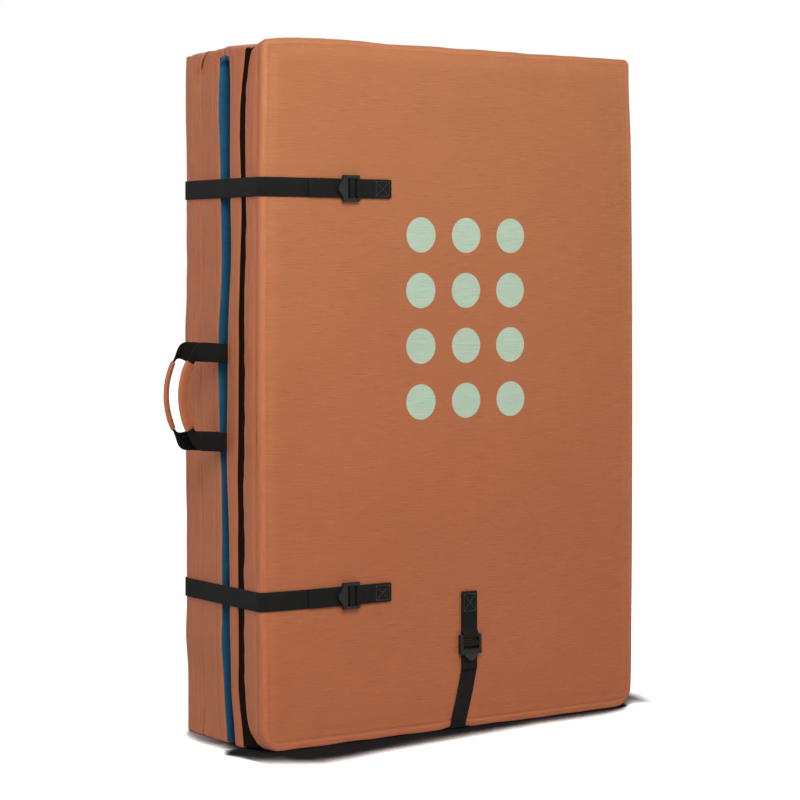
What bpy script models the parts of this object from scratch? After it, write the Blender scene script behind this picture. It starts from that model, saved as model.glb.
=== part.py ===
"""Folding bouldering crash pad, folded in two and standing on its short end.

Metres, +Z up. X runs across the folded pad with the fold's spine at +X and the open side with its
handles at -X. The half with the buckles faces -Y and the half with the carrying harness faces +Y.
Each function builds its piece about the pad's own centre line, in the middle of the fold, and the
empties put it in place.
"""
import math

import bmesh
import bpy
from mathutils import Matrix, Vector

# The folded pad
PAD_WIDTH = 0.616
PAD_HEIGHT = 0.914
HALF_DEPTH = 0.0875
LANDING_GAP = 0.023
CORNER_DRAW = 0.004
HINGE_STAND = 0.001
FIT = 0.0003

# Covers, their corner radii in the face (top corners, bottom corners) and their depths
COVER = 0.0013
LID_RADII = (0.009, 0.030)
WALL_RADII = (0.010, 0.012)
LANDING_RADII = (0.040, 0.040)
LEAST_RADIUS_SHARE = 0.4
LID_EDGE = 0.007
LID_SKIRT = 0.0463
BACK_LID_NOTCH = 0.003
FRONT_LID_NOTCH = 0.016
WALL_LIP = 0.003
WALL_LIP_DRAW = 0.0025
WALL_STEP = 0.006
HOOK_BAND = 0.002
BACK_BAND_SHOWN = 0.0015
FRONT_BAND_SHOWN = 0.0125
HOOK_BAND_HIDDEN = 0.0275

# Crowns: rise of a face and how far in from its edge it goes on rising
GROUND_CROWN = 0.0045
GROUND_CROWN_REACH = 0.082
GROUND_CROWN_SHARES = ((0.0, 0.0), (0.25, 0.42), (0.6, 0.82), (1.0, 1.0))
LANDING_CROWN = 0.0121
LANDING_CROWN_REACH = 0.140
LANDING_CROWN_SHARES = ((0.0, 0.0), (0.08, 0.1), (0.4, 0.6), (1.0, 1.0))

# Foam: closed-cell sheets over and under an open-cell core
TOP_FOAM = 0.013
BASE_FOAM = 0.013

# Steps round an outline
CORNER_STEPS = 4
SIDE_STEPS = 4

# Webbing and how far above a crowned face it lies
WEBBING = 0.0014
WEBBING_WIDTH = 0.025
SEAT = 0.0006
STRAP_STEP = 0.012

# Closing straps: heights of the two side straps as shares of the pad's, their buckles' bars and
# their sewn ends
UPPER_STRAP_SHARE = 0.7917
LOWER_STRAP_SHARE = 0.2117
SIDE_BUCKLE_X = -0.164
SIDE_TAB = 0.053
SIDE_TAIL = 0.075
BACK_SEWN = 0.105
BOTTOM_STRAP_X = 0.002
BOTTOM_BUCKLE_X = 0.016
BOTTOM_BUCKLE_Z = 0.125
BOTTOM_TAB = 0.060
BOTTOM_TAIL = 0.046
BOTTOM_SEWN = 0.090
CHANNEL_RAMP = 0.012
CHANNEL_SIDE = 0.002
CHANNEL_REACH = 0.012

# Ladder-lock buckle: the webbing's fixed end turns round its anchor bar
ANCHOR_BAR = 0.002
GRIP_BAR_AT = 0.0075
GRIP_BAR = 0.005
GRIP_BAR_DEEP = 0.003
FRONT_BAR_AT = 0.017
FRONT_BAR = 0.007
FRONT_BAR_DEEP = 0.0028
RAIL = 0.004
RAIL_CLEAR = 0.0006
RAIL_ROUND = 0.0028
RAIL_RISE = 0.0006
BAR_BITE = 0.001
LIFT_TAB = 0.0085
LIFT_TAB_TIP = 0.006
LIFT_TAB_RISE = 0.0022
LIFT_TAB_DEEP = 0.0022
TAB_FALL_ANGLE = math.radians(120)
BAR_SIDES = 10
BEND_STEPS = 3
LOOP_STEPS = 7

# Carry handles in the fold
HANDLE_SHARE = 0.4934
HANDLE_ARMS = 0.1156
HANDLE_REACH = 0.0865
HANDLE_TAKE_UP = 0.0132
HANDLE_RISE = 0.005
HANDLE_SEWN = 0.0035
GRIP_LENGTH = 0.098
GRIP_BOW = 0.014
GRIP_WIDTH = 0.018
GRIP_DEEP = 0.0065
GRIP_WEBBING_WIDTH = 0.0135
BACK_GRIP_TWIST = math.radians(55)
FRONT_GRIP_TWIST = math.radians(22)
GRIP_STEPS = 10
TURN_STEPS = 4

# Carrying harness on the back
PATCH_WIDTH = 0.230
PATCH_HEIGHT = 0.085
PATCH_CORNER = 0.0145
PATCH_SHARE = 0.8042
SHOULDER_TOP_X = 0.060
SHOULDER_LOW_X = 0.098
SHOULDER_LOW_SHARE = 0.4103
SHOULDER_WIDTH = 0.064
SHOULDER_END_WIDTH = 0.040
SHOULDER_DEEP = 0.011
SHOULDER_LIFT = 0.026
SHOULDER_LIFT_POWER = 1.5
SHOULDER_FADE_SHARE = 0.33
SHOULDER_FULL_POWER = 0.5
SHOULDER_BUCKLE_STAND = 0.014
SHOULDER_TAB = 0.016
SHOULDER_TAIL = 0.075
SHOULDER_STEPS = 14
LOWER_ANCHOR_X = 0.140
LOWER_ANCHOR_SHARE = 0.1641
LOWER_SEWN = 0.045
EASE_SHARES = (0.25, 0.75)
WAIST_SHARE = 0.3118
WAIST_HINGE_X = 0.152
WAIST_SEWN = 0.040
WAIST_WIDTH = 0.038
WAIST_WING = 0.085
WAIST_FOLD_BACK = 0.035
WAIST_RISE = 0.0025

# Side-release buckle on the waist belt
RELEASE_DEEP = 0.0105
RELEASE_BODY_AT = 0.007
RELEASE_BODY = 0.034
RELEASE_WALL = 0.0024
RELEASE_MOUTH_DEEP = 0.026
RELEASE_WINDOW_AT = 0.0136
RELEASE_WINDOW = 0.013
PRONG = 0.0045
PRONG_LENGTH = 0.024
PRONG_HOOK = 0.0025
PRONG_DEEP = 0.0036
GUIDE_SHARE = 0.8

# Spine strip that joins the halves at the fold
SPINE_SEWN = 0.012
SPINE_END = 0.045

# Values that follow from the sizes above
UPPER_STRAP_Z = PAD_HEIGHT * UPPER_STRAP_SHARE
LOWER_STRAP_Z = PAD_HEIGHT * LOWER_STRAP_SHARE
HANDLE_Z = PAD_HEIGHT * HANDLE_SHARE
PATCH_Z = PAD_HEIGHT * PATCH_SHARE
SHOULDER_TOP_Z = PATCH_Z
SHOULDER_LOW_Z = PAD_HEIGHT * SHOULDER_LOW_SHARE
LOWER_ANCHOR_Z = PAD_HEIGHT * LOWER_ANCHOR_SHARE
WAIST_Z = PAD_HEIGHT * WAIST_SHARE
SEAM_Y = LANDING_GAP / 2
FACE_Y = SEAM_Y + HALF_DEPTH
PLATEAU_Y = FACE_Y + GROUND_CROWN
LID_LIP_Y = FACE_Y - LID_SKIRT
BACK_BAND_Y = LID_LIP_Y - BACK_BAND_SHOWN
FRONT_BAND_Y = LID_LIP_Y - FRONT_BAND_SHOWN
BAND_END_Y = LID_LIP_Y + HOOK_BAND_HIDDEN
BAND_INSET = COVER + FIT
WALL_INSET = BAND_INSET + HOOK_BAND + FIT
FOAM_INSET = WALL_INSET + COVER + FIT
STRAP_CHANNEL = WEBBING + 2 * FIT
HALF_WEB = WEBBING / 2
WRAP = FIT + HALF_WEB
ANCHOR_WRAP = ANCHOR_BAR + WRAP
TAB_STACK = WEBBING + FIT
LOAD_N = SEAT + HALF_WEB
TAIL_N = LOAD_N + TAB_STACK
ANCHOR_N = WRAP + ANCHOR_WRAP
GRIP_BAR_LOW = LOAD_N + WRAP
FRONT_BAR_LOW = TAIL_N + WRAP
HINGE_X = PAD_WIDTH / 2 + HINGE_STAND
HANDLE_Y = SEAM_Y - FIT - HALF_WEB
HARNESS_DEPTH = SHOULDER_LIFT + SHOULDER_DEEP + COVER
BUCKLE_DEPTH = ANCHOR_N + FRONT_BAR_DEEP + LIFT_TAB_RISE
GRIP_OUT = ((GRIP_WIDTH / 2 - GRIP_DEEP / 4) * math.cos(BACK_GRIP_TWIST)
            + GRIP_DEEP / 2 * math.sin(BACK_GRIP_TWIST))
PAD_X = (HANDLE_REACH - GRIP_WIDTH / 2 + GRIP_OUT) / 2
PAD_Y = (BUCKLE_DEPTH - HARNESS_DEPTH) / 2

CANVAS = (0.434, 0.156, 0.076, 1)
LANDING_BLUE = (0.005, 0.069, 0.162, 1)
WEBBING_BLACK = (0.015, 0.014, 0.013, 1)
PLASTIC_BLACK = (0.020, 0.021, 0.024, 1)
CLOSED_FOAM = (0.16, 0.17, 0.18, 1)
OPEN_FOAM = (0.72, 0.66, 0.46, 1)
CLOTH_ROUGH = 0.8
WEBBING_ROUGH = 0.85
FOAM_ROUGH = 0.9
HOOK_ROUGH = 0.95
PLASTIC_ROUGH = 0.45
SHARP_ANGLE = math.radians(35)

X_AXIS = Vector((1, 0, 0))
Y_AXIS = Vector((0, 1, 0))
Z_AXIS = Vector((0, 0, 1))


def clear_scene():
    for old in list(bpy.data.objects):
        bpy.data.objects.remove(old, do_unlink=True)


def empty(name, place, parent=None):
    """An empty at a place given about the pad's centre line."""
    mark = bpy.data.objects.new(name, None)
    bpy.context.collection.objects.link(mark)
    mark["place"] = place
    if parent is None:
        mark.location = Vector((PAD_X, PAD_Y, 0)) + Vector(place)
    else:
        mark.parent = parent
        mark.location = Vector(place) - Vector(parent["place"])
    return mark


def own_material(node, colour, roughness):
    finish = bpy.data.materials.new(node.name + "_finish")
    finish.use_nodes = True
    shader = finish.node_tree.nodes["Principled BSDF"]
    shader.inputs["Base Color"].default_value = colour
    shader.inputs["Roughness"].default_value = roughness
    shader.inputs["Metallic"].default_value = 0
    finish.diffuse_color = colour
    node.data.materials.append(finish)


def add(name, mesh, parent, colour, roughness=CLOTH_ROUGH):
    """Make the node, its mesh given about the pad's centre line, with its origin at its parent's."""
    mesh.transform(Matrix.Translation(-Vector(parent["place"])))
    node = bpy.data.objects.new(name, mesh)
    bpy.context.collection.objects.link(node)
    node.parent = parent
    own_material(node, colour, roughness)
    mesh.shade_smooth()
    mesh.set_sharp_from_angle(angle=SHARP_ANGLE)
    return node


def mesh_of(shape):
    """A bmesh as a mesh whose faces point out."""
    bmesh.ops.recalc_face_normals(shape, faces=shape.faces)
    mesh = bpy.data.meshes.new("shape")
    shape.to_mesh(mesh)
    shape.free()
    return mesh


def bridge(shape, rings, closed):
    """Faces between rings of as many points; a closed run joins its last ring to its first."""
    pairs = list(zip(rings, rings[1:]))
    if closed:
        pairs.append((rings[-1], rings[0]))
    for one, other in pairs:
        for i in range(len(one)):
            j = (i + 1) % len(one)
            shape.faces.new((one[i], one[j], other[j], other[i]))
    if not closed:
        shape.faces.new(rings[0])
        shape.faces.new(rings[-1])


def tube_mesh(sections, closed=False):
    """A closed solid through sections, each a ring of points."""
    shape = bmesh.new()
    rings = [[shape.verts.new(point) for point in section] for section in sections]
    bridge(shape, rings, closed)
    return mesh_of(shape)


def joined(parts, cuts=()):
    """One closed mesh: the parts joined together, less the cuts."""
    blanks = []
    for mesh in (*parts, *cuts):
        blank = bpy.data.objects.new("blank", mesh)
        bpy.context.collection.objects.link(blank)
        blanks.append(blank)
    base = blanks[0]
    for count, tool in enumerate(blanks[1:], 1):
        step = base.modifiers.new("step", "BOOLEAN")
        step.operation = "UNION" if count < len(parts) else "DIFFERENCE"
        step.object = tool
    view = bpy.context.evaluated_depsgraph_get()
    mesh = bpy.data.meshes.new_from_object(base.evaluated_get(view))
    for blank in blanks:
        bpy.data.objects.remove(blank)
    return mesh


# The outline of the folded pad and the faces that follow it

def bow(share):
    """How far a side stands out past its corners, at a share of its length."""
    return CORNER_DRAW * (1 - (2 * share - 1) ** 2)


def outline(inset, radii):
    """Points (x, z) round the pad, moved in from its edge: drawn-in corners, bowed sides."""
    half = PAD_WIDTH / 2 - inset - CORNER_DRAW
    high = PAD_HEIGHT - inset - CORNER_DRAW
    top_radius, low_radius = [max(r - inset, r * LEAST_RADIUS_SHARE) for r in radii]
    low_flat = half - low_radius
    top_flat = half - top_radius
    shares = [step / SIDE_STEPS for step in range(1, SIDE_STEPS)]
    channel = STRAP_CHANNEL if inset < CHANNEL_REACH else 0
    mouth = WEBBING_WIDTH / 2 + CHANNEL_SIDE
    points = [(BOTTOM_STRAP_X - mouth - CHANNEL_RAMP, inset),
              (BOTTOM_STRAP_X - mouth, inset + channel),
              (BOTTOM_STRAP_X + mouth, inset + channel),
              (BOTTOM_STRAP_X + mouth + CHANNEL_RAMP, inset)]
    low_z = inset + low_radius
    high_z = high - top_radius
    points += corner(low_flat, low_z, low_radius, -90)
    points += [(half + bow(s), low_z + (high_z - low_z) * s) for s in shares]
    points += corner(top_flat, high_z, top_radius, 0)
    points += [(top_flat - 2 * top_flat * s, high + bow(s)) for s in shares]
    points += corner(-top_flat, high_z, top_radius, 90)
    points += [(-half - bow(s), high_z - (high_z - low_z) * s) for s in shares]
    points += corner(-low_flat, low_z, low_radius, 180)
    return points


def notch_shares():
    """Share of the notch at each of an outline's points: full in the middle of each corner."""
    arc_shares = [math.sin(math.pi * step / CORNER_STEPS) for step in range(CORNER_STEPS + 1)]
    side_shares = [0] * (SIDE_STEPS - 1)
    return [0] * 4 + (arc_shares + side_shares) * 3 + arc_shares


def corner(x, z, radius, start):
    turns = [math.radians(start + 90 * step / CORNER_STEPS) for step in range(CORNER_STEPS + 1)]
    return [(x + radius * math.cos(turn), z + radius * math.sin(turn)) for turn in turns]


def side_reach(z):
    """Distance from the centre line to the pad's open side at a height."""
    top_radius, low_radius = LID_RADII
    high_z = PAD_HEIGHT - CORNER_DRAW - top_radius
    share = (z - low_radius) / (high_z - low_radius)
    return PAD_WIDTH / 2 - CORNER_DRAW + bow(share)


def crown(inset, start, reach, rise, shares):
    """Rise of a crowned face at an inset from the pad's edge."""
    at = (inset - start) / (reach - start)
    for (low, low_rise), (high, high_rise) in zip(shares, shares[1:]):
        if at <= high:
            return rise * (low_rise + (high_rise - low_rise) * max(0, at - low) / (high - low))
    return rise


def ground_face(x, z):
    """How far the ground panel's outside lies from the middle of the fold."""
    inset = min(side_reach(z) - abs(x), z, PAD_HEIGHT - z)
    return FACE_Y + crown(inset, LID_EDGE, GROUND_CROWN_REACH, GROUND_CROWN, GROUND_CROWN_SHARES)


def crowned_rings(start, reach, rise, level, shares, thick=0):
    """Rings (inset, y) over a crowned face, from its edge to its flat middle."""
    return [(start + share * (reach - start) + thick, level + rise * rise_share)
            for share, rise_share in shares]


def rings_mesh(rings, side, closed=False, notch=0):
    """A solid through rings (inset, y, radii) on one side of the fold: +1 back, -1 front.

    The rings at the least y are notched at their corners by up to notch.
    """
    lip = min(y for _, y, _ in rings)
    sections = []
    for inset, y, radii in rings:
        depth = notch if y == lip else 0
        points = zip(outline(inset, radii), notch_shares())
        sections.append([(x, side * (y + depth * share), z) for (x, z), share in points])
    return tube_mesh(sections, closed)


def ground_rings(start, level, thick=0):
    """Rings over the ground face, which crowns outwards."""
    return crowned_rings(start, GROUND_CROWN_REACH, GROUND_CROWN, level, GROUND_CROWN_SHARES, thick)


def with_radii(rings, radii):
    return [(inset, y, radii) for inset, y in rings]


def band_start(side):
    """Where a half's hook band starts to show beside its wall."""
    return BACK_BAND_Y if side > 0 else FRONT_BAND_Y


def ground_panel(side):
    """Tray of heavy cloth on the ground side: a crowned face and the skirt round it."""
    soft = LID_EDGE * (1 - math.cos(math.pi / 4))
    outer = [(0, LID_LIP_Y), (0, FACE_Y - LID_EDGE), (soft, FACE_Y - soft)]
    outer += ground_rings(LID_EDGE, FACE_Y)
    inner = [(COVER, LID_LIP_Y), (COVER, FACE_Y - LID_EDGE)]
    inner += ground_rings(LID_EDGE, FACE_Y - COVER, COVER / 2)
    notch = BACK_LID_NOTCH if side > 0 else FRONT_LID_NOTCH
    return rings_mesh(with_radii(inner[::-1] + outer, LID_RADII), side, notch=notch)


def sidewall(side):
    """Cloth wall round the foam: full at its lip, stepped in where the hook band is sewn on."""
    lip = WALL_LIP_DRAW + COVER
    panel_back = SEAM_Y + 2 * COVER + FIT
    step = band_start(side)
    shown = [(WALL_LIP_DRAW, SEAM_Y), (0, SEAM_Y + WALL_LIP), (0, step - WALL_STEP)]
    rings = with_radii(shown, WALL_RADII)
    covered = [(WALL_INSET, step - FIT), (WALL_INSET, BAND_END_Y),
               (WALL_INSET + COVER, BAND_END_Y), (WALL_INSET + COVER, panel_back + FIT)]
    rings += with_radii(covered, LID_RADII)
    rings += with_radii([(lip, panel_back), (lip, SEAM_Y)], LANDING_RADII)
    return rings_mesh(rings, side, closed=True)


def hook_band(side):
    """Hook-and-loop band that the ground panel's skirt closes on."""
    far = BAND_INSET + HOOK_BAND
    start = band_start(side)
    rings = [(BAND_INSET, start), (BAND_INSET, BAND_END_Y), (far, BAND_END_Y), (far, start)]
    return rings_mesh(with_radii(rings, LID_RADII), side, closed=True)


def landing_rings(level, edge):
    """Rings over the landing face, which crowns towards the middle of the fold."""
    shares = LANDING_CROWN_SHARES
    rings = crowned_rings(edge, LANDING_CROWN_REACH, -LANDING_CROWN, level, shares)
    return with_radii(rings, LANDING_RADII)


def landing_panel(side):
    edge = WALL_LIP_DRAW + COVER + FIT
    level = SEAM_Y + COVER
    return rings_mesh(landing_rings(level + COVER, edge)[::-1] + landing_rings(level, edge), side)


def top_foam(side):
    """Closed-cell sheet under the landing panel, crowned with it."""
    low = landing_rings(SEAM_Y + 2 * COVER + FIT, FOAM_INSET)
    floor = SEAM_Y + WALL_LIP + TOP_FOAM
    return rings_mesh(low[::-1] + [(FOAM_INSET, floor, LID_RADII)], side)


def core_foam(side):
    low = SEAM_Y + WALL_LIP + TOP_FOAM + FIT
    high = FACE_Y - BASE_FOAM
    return rings_mesh(with_radii([(FOAM_INSET, low), (FOAM_INSET, high)], LID_RADII), side)


def base_foam(side):
    """Closed-cell sheet on the ground side, rounded at its edge and crowned with the panel."""
    rings = [(FOAM_INSET, FACE_Y - BASE_FOAM + FIT)]
    rings += ground_rings(LID_EDGE + COVER, FACE_Y - COVER - FIT, COVER)
    return rings_mesh(with_radii(rings, LID_RADII), side)


# Webbing: flat bands along a path

def band(points, across, width, thick=WEBBING):
    """A flat band whose middle runs through points; across and width may change along it."""
    points = [Vector(point) for point in points]
    count = len(points)
    acrosses = across if isinstance(across, list) else [across] * count
    widths = width if isinstance(width, list) else [width] * count
    sections = []
    for i, point in enumerate(points):
        along = (points[min(i + 1, count - 1)] - points[max(i - 1, 0)]).normalized()
        up = along.cross(acrosses[i]).normalized() * (thick / 2)
        out = acrosses[i].normalized() * (widths[i] / 2)
        sections.append([point + out + up, point - out + up,
                         point - out - up, point + out - up])
    return tube_mesh(sections)


def arc(centre, radius, start, end, steps):
    """Points (u, n) on an arc; angles in radians."""
    turns = [start + (end - start) * step / steps for step in range(steps + 1)]
    return [(centre[0] + radius * math.cos(t), centre[1] + radius * math.sin(t)) for t in turns]


def threaded(tail):
    """Path (u, n) through a ladder lock: n above the face, u from the anchor bar.

    It comes in under the front bar and the grip bar, turns up beside the anchor bar, over the
    grip bar and down, and its tail goes back out under the front bar.
    """
    grip_end = GRIP_BAR_AT + GRIP_BAR
    grip_high = GRIP_BAR_LOW + GRIP_BAR_DEEP
    half = math.pi / 2
    path = arc((GRIP_BAR_AT, GRIP_BAR_LOW), WRAP, -half, -2 * half, BEND_STEPS)
    path += arc((GRIP_BAR_AT, grip_high), WRAP, 2 * half, half, BEND_STEPS)
    path += arc((grip_end, grip_high), WRAP, half, 0, BEND_STEPS)
    path += arc((grip_end + 2 * WRAP, TAIL_N + WRAP), WRAP, 2 * half, 3 * half, BEND_STEPS)
    path += [(FRONT_BAR_AT + FRONT_BAR, TAIL_N), (tail, TAIL_N)]
    return path


def loop_path(low_length, high_length):
    """Path (u, n) of webbing sewn back on itself round an anchor bar at u 0; n above the face."""
    path = [(-low_length, WRAP)]
    path += arc((0, ANCHOR_N), ANCHOR_WRAP, -math.pi / 2, TAB_FALL_ANGLE, LOOP_STEPS)
    last_u, last_n = path[-1]
    level = WRAP + TAB_STACK
    fall = TAB_FALL_ANGLE - math.pi / 2
    path.append((last_u - (last_n - level) / math.tan(fall), level))
    path.append((-high_length, level))
    return path


def stepped(start, end, step):
    """Values from start to end no further apart than a step, both ends given."""
    count = max(1, math.ceil(abs(end - start) / step))
    return [start + (end - start) * i / count for i in range(count + 1)]


def strap_back(z):
    """Sewn end of a side strap: along the back face and round the corner onto the open side."""
    reach = side_reach(z)
    turn_x = -(reach - LID_EDGE)
    path = []
    for x in stepped(turn_x + BACK_SEWN, turn_x, STRAP_STEP):
        path.append((x, ground_face(x, z) + LOAD_N, z))
    bend = arc((turn_x, FACE_Y - LID_EDGE), LID_EDGE + LOAD_N, math.pi / 2, math.pi, LOOP_STEPS)
    path += [(x, y, z) for x, y in bend[1:]]
    return band(path, Z_AXIS, WEBBING_WIDTH)


def strap_side(z):
    """Free run over the open side, and round the front corner."""
    reach = side_reach(z)
    turn = FACE_Y - LID_EDGE
    path = [(-(reach + LOAD_N), turn - FIT, z)]
    bend = arc((-(reach - LID_EDGE), -turn), LID_EDGE + LOAD_N, math.pi, 3 * math.pi / 2, LOOP_STEPS)
    path += [(x, y, z) for x, y in bend]
    return band(path, Z_AXIS, WEBBING_WIDTH)


def strap_front(z):
    """Run over the front face to the buckle, through it and back out as a short tail."""
    start = -(side_reach(z) - LID_EDGE) + FIT
    lead = stepped(start, SIDE_BUCKLE_X - FRONT_BAR_AT, STRAP_STEP)
    path = [(x, -(ground_face(x, z) + LOAD_N), z) for x in lead]
    for u, n in threaded(SIDE_TAIL):
        x = SIDE_BUCKLE_X - u
        path.append((x, -(ground_face(x, z) + n), z))
    return band(path, Z_AXIS, WEBBING_WIDTH)


def side_tab(z):
    """Webbing sewn on the front face that holds a side buckle's anchor bar."""
    path = [(SIDE_BUCKLE_X - u, -(PLATEAU_Y + n), z) for u, n in loop_path(SIDE_TAB, SIDE_TAB)]
    return band(path, Z_AXIS, WEBBING_WIDTH)


def bottom_strap_under():
    """Sewn on the back face, down, under both halves in their channel and up onto the front."""
    turn = FACE_Y - LID_EDGE
    low = STRAP_CHANNEL + LID_EDGE
    x = BOTTOM_STRAP_X
    radius = LID_EDGE + LOAD_N - FIT
    path = []
    for z in stepped(low + BOTTOM_SEWN, low, STRAP_STEP):
        path.append((x, ground_face(x, z) + LOAD_N - FIT, z))
    back = arc((turn, low), radius, 0, -math.pi / 2, LOOP_STEPS)
    front = arc((-turn, low), radius, -math.pi / 2, -math.pi, LOOP_STEPS)
    path += [(x, y, z) for y, z in back[1:] + front]
    return band(path, X_AXIS, WEBBING_WIDTH)


def bottom_strap_front():
    """Up the front face to the bottom buckle, leaning a little, through it and back down."""
    low = STRAP_CHANNEL + LID_EDGE + FIT
    lead = stepped(low, BOTTOM_BUCKLE_Z - FRONT_BAR_AT, STRAP_STEP)
    path = [(z, ground_face(BOTTOM_STRAP_X, z) + LOAD_N - (FIT if z == low else 0)) for z in lead]
    path += [(BOTTOM_BUCKLE_Z - u, ground_face(BOTTOM_STRAP_X, BOTTOM_BUCKLE_Z - u) + n)
             for u, n in threaded(BOTTOM_TAIL)]
    straight = BOTTOM_BUCKLE_Z - BOTTOM_TAIL
    lean = (BOTTOM_BUCKLE_X - BOTTOM_STRAP_X) / (straight - low)
    points = [(BOTTOM_STRAP_X + (min(z, straight) - low) * lean, -y, z) for z, y in path]
    return band(points, X_AXIS, WEBBING_WIDTH)


def bottom_tab():
    path = loop_path(BOTTOM_TAB, BOTTOM_TAB)
    points = [(BOTTOM_BUCKLE_X, -(PLATEAU_Y + n), BOTTOM_BUCKLE_Z - u) for u, n in path]
    return band(points, X_AXIS, WEBBING_WIDTH)


# Buckles, each about its anchor bar: u away from its fixed webbing, w across, n up off the face

def prism(outline_points, low, high, frame):
    """A prism of an outline between two levels; frame turns (a, b, level) into (u, w, n)."""
    ends = [[frame(a, b, level) for a, b in outline_points] for level in (low, high)]
    return tube_mesh(ends)


def flat_wise(u, w, n):
    return (u, w, n)


def edge_wise(u, n, w):
    return (u, w, n)


def block(u, w, n):
    """A box between pairs of limits."""
    ring = [(u[0], w[0]), (u[1], w[0]), (u[1], w[1]), (u[0], w[1])]
    return prism(ring, n[0], n[1], flat_wise)


def bar(radius, half_width):
    ring = arc((0, 0), radius, 0, 2 * math.pi * (1 - 1 / BAR_SIDES), BAR_SIDES - 1)
    return prism(ring, -half_width, half_width, edge_wise)


def buckle_rail(near, far, end, nose_low, nose_high):
    """Side rail with a round end about the anchor bar and a nose at its far end."""
    ring = arc((0, 0), RAIL_ROUND, math.pi / 2, 3 * math.pi / 2, LOOP_STEPS)
    ring += [(end - RAIL_ROUND, -RAIL_ROUND), (end, nose_low), (end, nose_high),
             (end - RAIL_ROUND, RAIL_ROUND + RAIL_RISE)]
    return prism(ring, near, far, edge_wise)


def ladder_lock():
    """Anchor bar, grip bar and front bar between two rails, with a pointed tab to lift it by."""
    inner = WEBBING_WIDTH / 2 + RAIL_CLEAR
    outer = inner + RAIL
    bite = inner + BAR_BITE
    front_end = FRONT_BAR_AT + FRONT_BAR
    front_low = FRONT_BAR_LOW - ANCHOR_N
    front_high = front_low + FRONT_BAR_DEEP
    grip_low = GRIP_BAR_LOW - ANCHOR_N
    grip_high = grip_low + GRIP_BAR_DEEP
    grip_end = GRIP_BAR_AT + GRIP_BAR
    edge = FIT
    grip = [(GRIP_BAR_AT, grip_low), (grip_end, grip_low),
            (grip_end, grip_high - edge), (grip_end - edge, grip_high),
            (GRIP_BAR_AT + edge, grip_high), (GRIP_BAR_AT, grip_high - edge)]
    front = [(FRONT_BAR_AT, front_low), (front_end, front_low),
             (front_end + edge, front_high), (FRONT_BAR_AT + edge, front_high)]
    nose_low = front_low - edge
    nose_high = front_high + edge
    parts = [buckle_rail(inner, outer, front_end + edge, nose_low, nose_high),
             buckle_rail(-outer, -inner, front_end + edge, nose_low, nose_high),
             bar(ANCHOR_BAR, bite),
             prism(grip, -bite, bite, edge_wise),
             prism(front, -bite, bite, edge_wise),
             lift_tab(front_end, front_low + edge, inner)]
    return joined(parts)


def lift_tab(start, low, half):
    """Pointed tab that rises off the front bar."""
    tip = start + LIFT_TAB
    root = start - BAR_BITE
    tip_low = low + LIFT_TAB_RISE
    half_tip = LIFT_TAB_TIP / 2
    ring = [(root, -half, low), (tip, -half_tip, tip_low), (tip, half_tip, tip_low), (root, half, low)]
    raised = [(u, w, n + LIFT_TAB_DEEP) for u, w, n in ring]
    return tube_mesh([ring, raised])


def release_frame(half):
    """Bar and rails that the belt's webbing turns round."""
    inner = half + RAIL_CLEAR
    outer = inner + RAIL
    end = RELEASE_BODY_AT + BAR_BITE
    nose = RAIL_ROUND - FIT
    return [buckle_rail(inner, outer, end + RAIL_ROUND, -nose, nose),
            buckle_rail(-outer, -inner, end + RAIL_ROUND, -nose, nose),
            bar(ANCHOR_BAR, inner + BAR_BITE)]


def release_socket():
    """Socket half: a housing with a mouth for the prongs and a window at each side."""
    half = WAIST_WIDTH / 2
    outer = half + RAIL_CLEAR + RAIL
    start = RELEASE_BODY_AT
    end = start + RELEASE_BODY
    deep = RELEASE_DEEP / 2
    hollow = deep - RELEASE_WALL
    taper = RAIL
    ring = [(start, -outer), (end - taper, -outer), (end, -outer + taper),
            (end, outer - taper), (end - taper, outer), (start, outer)]
    body = prism(ring, -deep, deep, flat_wise)
    mouth_half = half - RELEASE_WALL
    mouth = block((end - RELEASE_MOUTH_DEEP, end + BAR_BITE), (-mouth_half, mouth_half), (-hollow, hollow))
    window_start = start + RELEASE_WINDOW_AT
    window_half = outer + BAR_BITE
    window = block((window_start, window_start + RELEASE_WINDOW), (-window_half, window_half),
                   (-hollow - FIT, hollow + FIT))
    return joined([body] + release_frame(half), [mouth, window])


def release_prongs():
    """Prong half: a bridge, two sprung arms with hooked ends and a guide between them."""
    half = WAIST_WIDTH / 2
    outer = half + RAIL_CLEAR + RAIL
    start = RELEASE_BODY_AT
    base_end = start + RAIL_ROUND + RAIL
    tip = base_end + PRONG_LENGTH
    deep = PRONG_DEEP / 2
    edge = half - RELEASE_WALL - FIT
    base = block((start, base_end), (-outer, outer), (-RAIL_ROUND + FIT, RAIL_ROUND - FIT))
    arms = []
    for side in (1, -1):
        ring = [(base_end - BAR_BITE, edge - PRONG), (tip - PRONG, edge - PRONG - PRONG_HOOK),
                (tip, edge - PRONG), (tip - PRONG, edge), (tip - 2 * PRONG, edge),
                (tip - 2 * PRONG, edge - PRONG_HOOK), (base_end - BAR_BITE, edge)]
        arms.append(prism([(u, side * w) for u, w in ring], -deep, deep, flat_wise))
    guide_end = base_end + PRONG_LENGTH * GUIDE_SHARE
    guide = block((base_end - BAR_BITE, guide_end), (-PRONG / 2, PRONG / 2), (-deep, deep))
    return joined([base] + release_frame(half) + arms + [guide])


def placed(mesh, at, along, up):
    """A buckle's mesh set with its anchor bar at a place, u along one way and n up another."""
    across = up.cross(along)
    turn = Matrix((along, across, up)).transposed().to_4x4()
    mesh.transform(Matrix.Translation(Vector(at)) @ turn)
    return mesh


# Carry handles: webbing that leaves the seam flat, turns in its own plane and runs in a sleeve

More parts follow.
